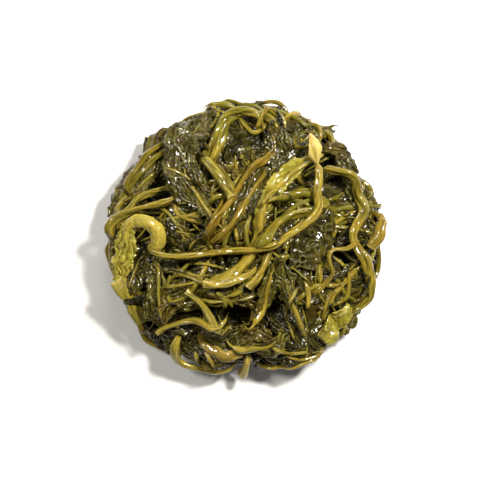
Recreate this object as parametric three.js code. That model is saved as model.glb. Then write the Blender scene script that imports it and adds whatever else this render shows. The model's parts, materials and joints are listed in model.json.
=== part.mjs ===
// A serving of cooked broccoli rabe: a mound of limp stalks and wilted leaves, tangled
// together and lying on a flat surface. Every stalk, leaf and folded bundle is one solid.
// The pieces are laid one after another, from the heart of the mound outwards, and each one
// drapes over what already lies there, so that they lie close and never run into each other.
// Millimetres, +Z up, with the origin on the surface under the middle of the mound.
import * as THREE from "three";

const { degToRad, lerp, smoothstep } = THREE.MathUtils;

// The mound that the strands follow, and how small it is for the strands that are laid first
const MOUND_RADIUS = 72;
const MOUND_HEIGHT = 48;
const MOUND_FULLNESS = 2.5; // 2 is an ellipse, and more is squarer in the shoulders
const DEEPEST_SHARE = 0.97;
const RIM_MARGIN = 0.4; // the places over the table stop this far inside the mound's rim

// How the pieces lie on each other
const GAP = 0.4; // free space kept under a piece
const RING_SPACING = 5.4; // between the sections of a strand
const PLACING_PASSES = 10; // how often a strand is laid again, to lie truer over its route
const PLACING_STEP = 0.35; // how far its heights then go towards those that it was laid at
const LOWEST_SLOPE = 0.3; // height over reach of the lowest place that a route may be lifted to
const EVENING_ROUNDS = 8; // how often the heights along a route are evened out
const STALK_SAG = 1.3; // how far a section of a stalk may dip below its neighbours
const LEAF_SAG = 1.8; // the same for a limp leaf
const BUNDLE_SAG = 0.4; // and for a thick bundle
const STEEPEST_STEP = 4.5; // how much deeper one section may lie than the next
const SETTLING_ROUNDS = 80;
const SETTLING_STEP = 0.7;
const CLOSE_ENOUGH = 0.02;
const LEAF_DROOP = 1.1; // how deep a blade may hang across its line, over its half width
const SHARPEST_TURN = 0.8; // half width of a strand over the radius of its tightest turn

// The grid of directions, seen from the heart, in which the laid pieces are measured
const GRID_HALF_ANGLE = degToRad(93);
const GRID_CELLS = 300;

// Directions lower than this are drawn together, so that nothing goes below the surface
const LOW_TILT = degToRad(80);
const LOW_ROOM = degToRad(9);

// Sections of the strands
const STALK_SIDES = 8;
const LEAF_SIDES = 12;
const BUNDLE_SIDES = 16;
const BLADE_THICKNESS = 1.2;
const MIDRIB_RISE = 1;
const FOLD_HEIGHT = 1.9;
const MARGIN_LOBES = 0.2;
const LOBE_TURNS = 13; // how far the margin's lobes turn along a leaf, in radians
const STALK_SWELLING = 0.06;
const SWELLING_TURNS = 14; // the same for the swellings of a stalk
const OPENS_BEFORE = 0.12; // a leaf's stalk opens into its blade from this share before its end
const OPENS_AFTER = 0.18; // to this share after it
const LEAF_BASE = 0.75; // width at the ends of a blade over its full width
const LEAF_POINT = 0.45; // how far it narrows towards its tip
const POINT_STARTS = 0.75;
const WIDEST_SHARE = 0.42; // of a blade's length, from its base
const MIDRIB_SPREAD = 0.33; // of a blade's half width
const MIDRIB_TAPER = 0.6;
const CUT_TAPER = 0.8; // end radius of a stalk over its radius
const STALK_TIP = 0.5; // length of a stalk's tip over its end radius
const LEAF_TIP = 1.5;
const BUNDLE_TIP = 1;
const PRESSED_TIP = 0.6;
const BLUNT_BASE = 0.6; // length of the base of a leaf or a bundle over that of its tip

// The folds are sums of waves. Each turns by so much from one column of a section to the next,
// and by so much along the piece, in radians.
const BLADE_WAVES = [
  { size: 0.3, across: 2.3, along: 3 },
  { size: 0.21, across: 1.1, along: -9 },
];
const BLADE_MEAN = 0.5;
const BUNDLE_WAVES = [
  { size: 0.3, across: 2.2, along: 5 },
  { size: 0.2, across: 0, along: 11 },
];
const BUNDLE_MEAN = 0.5;
const SEED_STEP = 104729; // each leaf's folds start from a seed of their own

// The folded bundles inside: a nest of three round a fourth, with more laid over them
const NEST_HEIGHT = 23;
const NEST_RADIUS = 42.5;
const NEST_WIDTH = 50;
const NEST_SPAN = 116;
const NEST_FOLDS = 5;
const NEST_FOLD_DEPTH = 0.1;
const NEST_FOLD_DRIFT = 16; // how far the folds turn round a bundle along it, in radians
const NEST_SPACING = 8.5;
const HEART_LENGTH = 24;
const HEART_WIDTH = 26;
const INNER_RADIUS = 66; // the bundles together fill a mound of this radius and height
const INNER_HEIGHT = 33;
const UPPER_FOLD_DEPTH = 0.09;
const BLUNT_END = 0.8; // size of a pressed bundle at its ends
const UPPER_END_WIDTH = 0.6; // the same for the width of the upper bundles
const UPPER_END_FULLNESS = 0.9;
const LEAST_FULLNESS = 0.2; // nearer to its ends, an upper bundle only covers what it lies on
const ROUNDING = 4; // how late a bundle narrows towards its ends
const SQUARENESS = 0.7; // 1 is a round section, and less is squarer
const LOWEST_RISE = 0.35; // of a pressed bundle's edges over its full height

// Colours of the cooked plant
const COLOURS = {
  dark: 0x3b4316,
  olive: 0x5c5a1a,
  stalk: 0xa08e24,
  pale: 0xb8ab48,
};

const bunch = new THREE.Group();

// A repeatable stream of numbers from 0 to 1.
function seeded(seed) {
  let state = seed;
  return () => {
    state = (state * 16807) % 2147483647;
    return (state - 1) / 2147483646;
  };
}

// The point of the mound over a place on the table.
function overTable([x, y], share) {
  const limit = MOUND_RADIUS * share - RIM_MARGIN;
  const inside = Math.min(1, limit / Math.max(Math.hypot(x, y), 1));
  const radius = (Math.hypot(x, y) * inside) / (MOUND_RADIUS * share);
  const height = MOUND_HEIGHT * share * (1 - radius ** MOUND_FULLNESS) ** (1 / MOUND_FULLNESS);
  return new THREE.Vector3(x * inside, y * inside, height);
}

// How far a mound reaches from its heart in a direction.
function moundReach(direction, radius, height) {
  const outward = Math.hypot(direction.x, direction.y) / radius;
  const upward = Math.max(direction.z, 0) / height;
  return (outward ** MOUND_FULLNESS + upward ** MOUND_FULLNESS) ** (-1 / MOUND_FULLNESS);
}

// The point of the mound at an azimuth round it and a tilt away from straight up, in degrees.
function roundTheSide([azimuth, tilt], share) {
  const place = new THREE.Vector3().setFromSphericalCoords(1, degToRad(tilt), degToRad(azimuth));
  const way = new THREE.Vector3(place.z, place.x, place.y);
  return way.multiplyScalar(share * moundReach(way, MOUND_RADIUS, MOUND_HEIGHT));
}

function moundNormal(point) {
  const radius = Math.max(Math.hypot(point.x, point.y), 1e-6);
  const outward = (radius / MOUND_RADIUS) ** (MOUND_FULLNESS - 1) / MOUND_RADIUS;
  const upward = (Math.max(point.z, 0) / MOUND_HEIGHT) ** (MOUND_FULLNESS - 1) / MOUND_HEIGHT;
  return new THREE.Vector3((point.x / radius) * outward, (point.y / radius) * outward, upward).normalize();
}

// A direction from the heart, drawn up where it would go below the surface.
function keptAboveTable(direction) {
  const flat = Math.hypot(direction.x, direction.y);
  const tilt = Math.atan2(flat, direction.z);
  if (tilt <= LOW_TILT) return direction.normalize().toArray();
  const kept = LOW_TILT + LOW_ROOM * (1 - Math.exp((LOW_TILT - tilt) / LOW_ROOM));
  const spread = Math.sin(kept) / flat;
  return [direction.x * spread, direction.y * spread, Math.cos(kept)];
}

// What already lies there is kept as its furthest reach from the heart in each direction.
// The second list holds the furthest reach within one cell each way.
const cellSize = (2 * GRID_HALF_ANGLE) / GRID_CELLS;
const reach = new Float64Array(GRID_CELLS * GRID_CELLS);
const widened = new Float64Array(GRID_CELLS * GRID_CELLS);
const cellDirections = Array.from(reach, (_, cell) => {
  const a = ((cell % GRID_CELLS) + 0.5) * cellSize - GRID_HALF_ANGLE;
  const b = (Math.floor(cell / GRID_CELLS) + 0.5) * cellSize - GRID_HALF_ANGLE;
  const tilt = Math.hypot(a, b);
  return [(a * Math.sin(tilt)) / tilt, (b * Math.sin(tilt)) / tilt, Math.cos(tilt)];
});

// Where a point falls on the grid, in cells.
function onGrid([x, y, z]) {
  const flat = Math.max(Math.hypot(x, y), 1e-9);
  const scale = Math.atan2(flat, z) / flat;
  return [(x * scale + GRID_HALF_ANGLE) / cellSize, (y * scale + GRID_HALF_ANGLE) / cellSize];
}

function onlyCells(value) {
  return Math.min(Math.max(Math.floor(value), 0), GRID_CELLS - 1);
}

const cross = (p, q) => [p[1] * q[2] - p[2] * q[1], p[2] * q[0] - p[0] * q[2], p[0] * q[1] - p[1] * q[0]];
const dot = (p, q) => p[0] * q[0] + p[1] * q[1] + p[2] * q[2];

// Calls visit(cell, distance) for each direction of the grid that meets a triangle.
function eachCell(p, q, r, visit) {
  const corners = [onGrid(p), onGrid(q), onGrid(r)];
  const low = [0, 1].map((axis) => onlyCells(Math.min(...corners.map((corner) => corner[axis])) - 1));
  const high = [0, 1].map((axis) => onlyCells(Math.max(...corners.map((corner) => corner[axis])) + 1));
  const walls = [cross(p, q), cross(q, r), cross(r, p)];
  const normal = [0, 1, 2].map((axis) => walls[0][axis] + walls[1][axis] + walls[2][axis]);
  const height = dot(normal, p);
  const facing = Math.sign(height);
  if (Math.abs(height) < 1e-9) return;
  for (let row = low[1]; row <= high[1]; row += 1) {
    for (let column = low[0]; column <= high[0]; column += 1) {
      const cell = row * GRID_CELLS + column;
      const ray = cellDirections[cell];
      const meets = walls.every((wall) => dot(ray, wall) * facing >= 0);
      if (meets) visit(cell, height / dot(normal, ray));
    }
  }
}

// Adds a laid piece's triangles to the reach.
function measure(points, triangles) {
  for (const [a, b, c] of triangles) {
    eachCell(points[a], points[b], points[c], (cell, distance) => {
      reach[cell] = Math.max(reach[cell], distance);
    });
  }
  for (let row = 1; row < GRID_CELLS - 1; row += 1) {
    for (let column = 1; column < GRID_CELLS - 1; column += 1) {
      let furthest = 0;
      for (let step = 0; step < 9; step += 1) {
        const cell = (row + Math.floor(step / 3) - 1) * GRID_CELLS + column + (step % 3) - 1;
        furthest = Math.max(furthest, reach[cell]);
      }
      widened[row * GRID_CELLS + column] = furthest;
    }
  }
}

function reachAt(direction) {
  const [column, row] = onGrid(direction).map(onlyCells);
  return widened[row * GRID_CELLS + column];
}

// The triangles of a strand: rings of points, with a cut or blunt base and a pointed tip. A ring starts
// at its right edge and goes over the top to its left edge, and its upper and lower halves are
// split alike, so that a thin blade stays whole.
function strandTriangles(rings, sides) {
  const triangles = [];
  const base = rings * sides;
  const tip = base + 1;
  for (let i = 0; i + 1 < rings; i += 1) {
    for (let j = 0; j < sides; j += 1) {
      const [a, b] = [i * sides + j, i * sides + ((j + 1) % sides)];
      const [c, d] = [b + sides, a + sides];
      if (j < sides / 2) triangles.push([a, c, b], [a, d, c]);
      else triangles.push([a, d, b], [b, d, c]);
    }
  }
  for (let j = 0; j < sides; j += 1) {
    const next = (j + 1) % sides;
    const last = (rings - 1) * sides;
    triangles.push([base, j, next], [tip, last + next, last + j]);
  }
  return triangles;
}

// Adds the base, which a cut stalk has in the plane of its end, and the tip to a strand's rings.
function closeEnds(points, rings, sides, baseLength, tipLength) {
  const ends = [
    [0, 1, baseLength],
    [rings - 1, rings - 2, tipLength],
  ];
  const added = ends.map(([end, before, length]) => {
    const [last, inner] = [end, before].map((ring) => {
      const around = points.slice(ring * sides, (ring + 1) * sides);
      const middle = [0, 1, 2].map((axis) => around.reduce((sum, point) => sum + point[axis], 0) / sides);
      return new THREE.Vector3(...middle);
    });
    const along = last.clone().sub(inner).normalize();
    return last.addScaledVector(along, length).toArray();
  });
  return [...points, ...added];
}

function addPiece(name, colour, points, triangles) {
  const geometry = new THREE.BufferGeometry();
  geometry.setAttribute("position", new THREE.Float32BufferAttribute(points.flat(), 3));
  geometry.setIndex(triangles.flat());
  geometry.computeVertexNormals();
  const material = new THREE.MeshStandardMaterial({ color: COLOURS[colour], roughness: 0.35, metalness: 0 });
  const mesh = new THREE.Mesh(geometry, material);
  mesh.name = name;
  bunch.add(mesh);
  measure(points, triangles);
}

// How full a bundle is along its length, from 0 at its ends to 1.
function fullness(share) {
  return Math.sqrt(Math.max(1 - Math.abs(2 * share - 1) ** ROUNDING, 0));
}

// A bundle of leaves pressed into a fat roll on the table, with folds along its sides.
function pressedBundle(name, curve, width, phase) {
  const rings = Math.max(6, Math.round(curve.getLength() / NEST_SPACING) + 1);
  const sides = BUNDLE_SIDES;
  const points = [];
  for (let i = 0; i < rings; i += 1) {
    const share = i / (rings - 1);
    const middle = curve.getPointAt(share);
    const left = curve.getTangentAt(share).rotateAround(new THREE.Vector2(), Math.PI / 2);
    const full = lerp(BLUNT_END, 1, fullness(share));
    for (let j = 0; j < sides; j += 1) {
      const turn = (2 * Math.PI * j) / sides;
      const under = j > sides / 2;
      const depth = under ? 2 : 1 + Math.sin(NEST_FOLDS * turn + phase + NEST_FOLD_DRIFT * share);
      const size = full * (1 - NEST_FOLD_DEPTH * depth);
      const sideways = -Math.sign(Math.cos(turn)) * Math.abs(Math.cos(turn)) ** SQUARENESS;
      const across = sideways * (width / 2) * size;
      const rise = Math.max(LOWEST_RISE, Math.abs(Math.sin(turn)) ** SQUARENESS) * NEST_HEIGHT * size;
      const place = middle.clone().addScaledVector(left, across);
      const point = new THREE.Vector3(place.x, place.y, under ? 0 : rise);
      const way = point.clone().normalize();
      points.push(point.clampLength(0, moundReach(way, INNER_RADIUS, INNER_HEIGHT)).toArray());
    }
  }
  addPiece(name, "dark", closeEnds(points, rings, sides, 0, PRESSED_TIP), strandTriangles(rings, sides));
}

// The middle, leftward direction and turning of a strand's line at each of its sections.
function framesAlong(line) {
  const curve = new THREE.CatmullRomCurve3(line, false, "centripetal");
  const rings = Math.max(5, Math.round(curve.getLength() / RING_SPACING) + 1);
  const frames = Array.from({ length: rings }, (_, i) => {
    const share = i / (rings - 1);
    const middle = curve.getPointAt(share);
    const tangent = curve.getTangentAt(share);
    const left = moundNormal(middle).cross(tangent).normalize();
    return { share, middle, tangent, left };
  });
  const step = curve.getLength() / (rings - 1);
  frames.forEach((frame, i) => {
    const before = frames[Math.max(i - 1, 0)];
    const after = frames[Math.min(i + 1, rings - 1)];
    const turned = after.tangent.clone().sub(before.tangent).dot(frame.left);
    frame.turning = turned / (step * (i > 0 && i < rings - 1 ? 2 : 1));
  });
  return frames;
}

// The points of a route, lifted or lowered towards these distances from the heart.
function liftedTo(places, distances) {
  let heights = places.map(({ x, y, z }, i) => {
    const flat = Math.hypot(x, y);
    const height = Math.sqrt(Math.max(distances[i] ** 2 - flat ** 2, (LOWEST_SLOPE * flat) ** 2));
    return lerp(z, height, PLACING_STEP);
  });
  for (let round = 0; round < EVENING_ROUNDS; round += 1) {
    heights = heights.map((height, i) => {
      const before = heights[Math.max(i - 1, 0)];
      const after = heights[Math.min(i + 1, heights.length - 1)];
      return (before + 2 * height + after) / 4;
    });
  }
  return places.map(({ x, y }, i) => new THREE.Vector3(x, y, heights[i]));
}

// Settles a strand on what lies there, and gives its corners and the line that it then follows
// over its route. section(share) gives for each column across it, from right to left,
// how far it stands to the left of the line, and its underside and upper side above what the
// strand lies on. Part of a round underside may sink below that: it is where the section curls
// up. A bundle also has how much of the inner mound it fills. droop(share) is how much deeper
// one column may hang than another.
function settle({ section, sides, sag, droop, baseLength, tipLength }, line) {
  const frames = framesAlong(line);
  const rings = frames.length;
  const columns = sides / 2 + 1;
  const sections = frames.map(({ share }) => section(share));
  const directions = frames.map(({ middle, left, turning }, i) => {
    const widest = Math.max(...sections[i].map(({ across }) => across * turning));
    const narrowed = Math.min(1, SHARPEST_TURN / Math.max(widest, SHARPEST_TURN));
    return sections[i].map(({ across }) => {
      const kept = across * turning > 0 ? across * narrowed : across;
      return keptAboveTable(middle.clone().addScaledVector(left, kept));
    });
  });
  const lift = directions.map((row, i) =>
    row.map((direction, c) => reachAt(direction) + GAP - sections[i][c].sunk),
  );

  const place = () => {
    const points = [];
    for (let i = 0; i < rings; i += 1) {
      for (let j = 0; j < sides; j += 1) {
        const c = j <= sides / 2 ? j : sides - j;
        const { low, high, filled = 0 } = sections[i][c];
        const edge = c === 0 || c === columns - 1;
        const above = edge ? (low + high) / 2 : j < sides / 2 ? high : low;
        const way = new THREE.Vector3(...directions[i][c]);
        const fullest = j < sides / 2 ? filled * moundReach(way, INNER_RADIUS, INNER_HEIGHT) : 0;
        points.push(way.multiplyScalar(Math.max(lift[i][c] + above, fullest)).toArray());
      }
    }
    return closeEnds(points, rings, sides, baseLength, tipLength);
  };

  // No section dips far below its neighbours, and no column of a blade does either.
  const relax = () => {
    for (let round = 0; round < SETTLING_ROUNDS; round += 1) {
      for (let i = 0; i < rings; i += 1) {
        const lowest = Math.max(...lift[i]) - droop(frames[i].share);
        for (let c = 0; c < columns; c += 1) {
          const higher = Math.max(lift[Math.max(i - 1, 0)][c], lift[Math.min(i + 1, rings - 1)][c]);
          lift[i][c] = Math.max(lift[i][c], lowest, higher - STEEPEST_STEP);
          if (i > 0 && i < rings - 1) {
            lift[i][c] = Math.max(lift[i][c], (lift[i - 1][c] + lift[i + 1][c]) / 2 - sag);
          }
          if (c > 0 && c < columns - 1) {
            lift[i][c] = Math.max(lift[i][c], (lift[i][c - 1] + lift[i][c + 1]) / 2 - sag);
          }
        }
      }
    }
  };

  // The places, ring by column, that a corner of a triangle belongs to.
  const placesOf = (corner) => {
    if (corner < rings * sides) {
      const j = corner % sides;
      return [[Math.floor(corner / sides), j <= sides / 2 ? j : sides - j]];
    }
    const end = corner === rings * sides ? 0 : rings - 1;
    return Array.from({ length: columns }, (_, c) => [end, c]);
  };

  const triangles = strandTriangles(rings, sides);
  relax();
  for (let round = 0; round < SETTLING_ROUNDS; round += 1) {
    const points = place();
    const push = lift.map((row) => row.map(() => 0));
    for (const corners of triangles) {
      let short = 0;
      eachCell(...corners.map((corner) => points[corner]), (cell, distance) => {
        short = Math.max(short, widened[cell] + GAP - distance);
      });
      if (short > CLOSE_ENOUGH) {
        for (const [i, c] of corners.flatMap(placesOf)) push[i][c] = Math.max(push[i][c], short);
      }
    }
    if (Math.max(...push.flat()) === 0) break;
    lift.forEach((row, i) => row.forEach((value, c) => (row[c] = value + push[i][c] * SETTLING_STEP)));
    relax();
  }
  const centre = sides / 4;
  const distances = sections.map((row, i) => lift[i][centre] + (row[centre].low + row[centre].high) / 2);
  const middles = frames.map(({ middle }) => middle);
  const astray = middles.map((middle, i) => {
    const { x, y } = middle.clone().setLength(distances[i]);
    return Math.hypot(x - middle.x, y - middle.y);
  });
  return {
    points: place(),
    triangles,
    followed: liftedTo(middles, distances),
    astray: astray.reduce((sum, one) => sum + one) / rings,
  };
}

// Lays a strand on the mound a few times over, and adds it as it lay truest over its route.
function lay(piece) {
  let settled = settle(piece, piece.line);
  let truest = settled;
  for (let pass = 1; pass < piece.passes; pass += 1) {
    settled = settle(piece, settled.followed);
    if (settled.astray < truest.astray) truest = settled;
  }
  addPiece(piece.name, piece.colour, truest.points, truest.triangles);
}

// A stalk's section: round, a little thicker where leaves grew from it.
function stalkSection(radius, endRadius, flatness) {
  return (share) => {
    const swelling = 1 + STALK_SWELLING * Math.sin(SWELLING_TURNS * share + radius);
    const size = lerp(radius, endRadius, share) * swelling;
    return Array.from({ length: STALK_SIDES / 2 + 1 }, (_, c) => {
      const turn = (Math.PI * c) / (STALK_SIDES / 2);
      const rise = size * flatness * Math.sin(turn);
      const low = size * flatness - rise;
      return { across: -size * Math.cos(turn), low, high: low + 2 * rise, sunk: low };
    });
  };
}

// How far a leaf's stalk has opened into its blade.
function opening(share, bare) {
  return smoothstep(share, bare - OPENS_BEFORE, bare + OPENS_AFTER);
}

// How high a sum of waves stands at a column of a section.
function folded(waves, phases, column, share) {
  return waves.reduce((sum, { size, across, along }, i) => {
    return sum + size * Math.sin(across * column + along * share + phases[i]);
  }, 0);
}

// A leaf's section: a round stalk up to a share of its length, then a blade with lobed margins,
// a midrib and lengthwise folds that shift along it.
function leafSection({ width, stalk, bare, seed }) {
  const random = seeded(seed);
  const phases = Array.from({ length: 4 }, () => 2 * Math.PI * random());
  return (share) => {
    const open = opening(share, bare);
    const grown = Math.max(share - bare, 0) / (1 - bare);
    const outline = lerp(LEAF_BASE, 1, Math.sin(Math.PI * Math.min(grown / (2 * WIDEST_SHARE), 1)));
    const narrowing = lerp(1, LEAF_POINT, smoothstep(share, POINT_STARTS, 1));
    return Array.from({ length: LEAF_SIDES / 2 + 1 }, (_, c) => {
      const place = (2 * c) / (LEAF_SIDES / 2) - 1;
      const turn = (Math.PI * c) / (LEAF_SIDES / 2);
      const lobe = 1 + MARGIN_LOBES * Math.sin(LOBE_TURNS * share + phases[place < 0 ? 0 : 1]);
      const spread = lerp(-stalk * Math.cos(turn), place * width * outline * narrowing * lobe, open);
      const wave = BLADE_MEAN + folded(BLADE_WAVES, phases.slice(2), c, share);
      const fold = open * FOLD_HEIGHT * Math.max(wave, 0);
      const rise = lerp(stalk * Math.sin(turn), BLADE_THICKNESS / 2, open);
      const crest = Math.max(0, 1 - Math.abs(place) / MIDRIB_SPREAD);
      const rib = open * MIDRIB_RISE * (1 - MIDRIB_TAPER * share) * crest;
      const sunk = (1 - open) * (stalk - stalk * Math.sin(turn));
      return { across: spread, low: sunk + fold, high: sunk + fold + 2 * rise + rib, sunk };
    });
  };
}

// A thick bundle of leaves laid over the nest, which fills the inner mound up to its folds.
function bundleSection(width, seed) {
  const random = seeded(seed);
  const phases = [2 * Math.PI * random(), 2 * Math.PI * random()];
  return (share) => {
    const full = fullness(share);
    return Array.from({ length: BUNDLE_SIDES / 2 + 1 }, (_, c) => {
      const place = (2 * c) / (BUNDLE_SIDES / 2) - 1;
      const fold = BUNDLE_MEAN + folded(BUNDLE_WAVES, phases, c, share);
      const covers = Math.abs(place) < 1 && full > LEAST_FULLNESS;
      const filled = covers ? (1 - UPPER_FOLD_DEPTH * fold) * lerp(UPPER_END_FULLNESS, 1, full) : 0;
      const across = place * width * lerp(UPPER_END_WIDTH, 1, full);
      return { across, low: 0, high: BLADE_THICKNESS, sunk: 0, filled };
    });
  };
}

const stalk = (name, colour, radius, line, { end = radius * CUT_TAPER, flatness = 1 } = {}) => ({
  name,
  colour,
  line,
  section: stalkSection(radius, end, flatness),
  sides: STALK_SIDES,
  sag: STALK_SAG,
  droop: () => 0,
  baseLength: 0,
  tipLength: end * STALK_TIP,
});

const leaf = (name, colour, width, line, { thick = 1.6, bare = 0, seed = name.length } = {}) => ({
  name,
  colour,
  line,
  section: leafSection({ width, stalk: thick, bare, seed: seed * SEED_STEP }),
  sides: LEAF_SIDES,
  sag: LEAF_SAG,
  droop: (share) => opening(share, bare) * LEAF_DROOP * width,
  baseLength: LEAF_TIP * BLUNT_BASE,
  tipLength: LEAF_TIP,
});

const bundle = (name, width, line, seed) => ({
  name,
  colour: "dark",
  line,
  section: bundleSection(width, seed),
  sides: BUNDLE_SIDES,
  sag: BUNDLE_SAG,
  droop: () => Infinity,
  baseLength: BUNDLE_TIP * BLUNT_BASE,
  tipLength: BUNDLE_TIP,
});

// The nest on the table, the bundle in its middle, and the bundles over them
const heartEnd = new THREE.Vector2(HEART_LENGTH / 2, 0);
const heartLine = new THREE.LineCurve(heartEnd.clone().negate(), heartEnd);
pressedBundle("inner_bundle_heart", heartLine, HEART_WIDTH, 1);
for (const [index, name] of ["front_left", "front_right", "back"].entries()) {
  const [from, to] = [-0.5, 0.5].map((part) => degToRad(210 + 120 * index + NEST_SPAN * part));
  const arc = new THREE.EllipseCurve(0, 0, NEST_RADIUS, NEST_RADIUS, from, to);
  pressedBundle(`inner_bundle_${name}`, arc, NEST_WIDTH, 2 * index);
}
const upperBundles = [
  bundle("inner_bundle_upper_left", 30, [[-30, -44], [-34, -15], [-32, 14], [-22, 44]], 5),
  bundle("inner_bundle_upper_right", 30, [[34, 40], [36, 12], [33, -16], [24, -44]], 8),
  bundle("inner_bundle_upper_middle", 26, [[2, 50], [-4, 20], [4, -14], [-4, -50]], 9),
];

// Leaves and stalks round the sides, by azimuth and tilt in degrees
const sidePieces = [
  leaf("side_leaf_right", "dark", 12, [[-42, 86], [-16, 80], [8, 85], [30, 78], [52, 84]]),
  leaf("side_leaf_back", "dark", 13, [[50, 80], [72, 84], [94, 83], [114, 76], [136, 82]]),
  leaf("side_leaf_left", "dark", 12, [[134, 84], [160, 80], [182, 85], [204, 80], [226, 86]]),
  leaf("side_leaf_front", "dark", 13, [[222, 80], [248, 84], [270, 84], [292, 76], [320, 84]]),
  stalk("side_stalk_right", "stalk", 2, [[14, 76], [27, 73], [43, 73], [54, 78]]),
  stalk("side_stalk_left", "stalk", 2.2, [[216, 62], [204, 72], [190, 80], [172, 84]]),
  stalk("side_stalk_front", "stalk", 2, [[268, 86], [270, 76], [273, 66], [277, 57]]),
];

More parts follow.
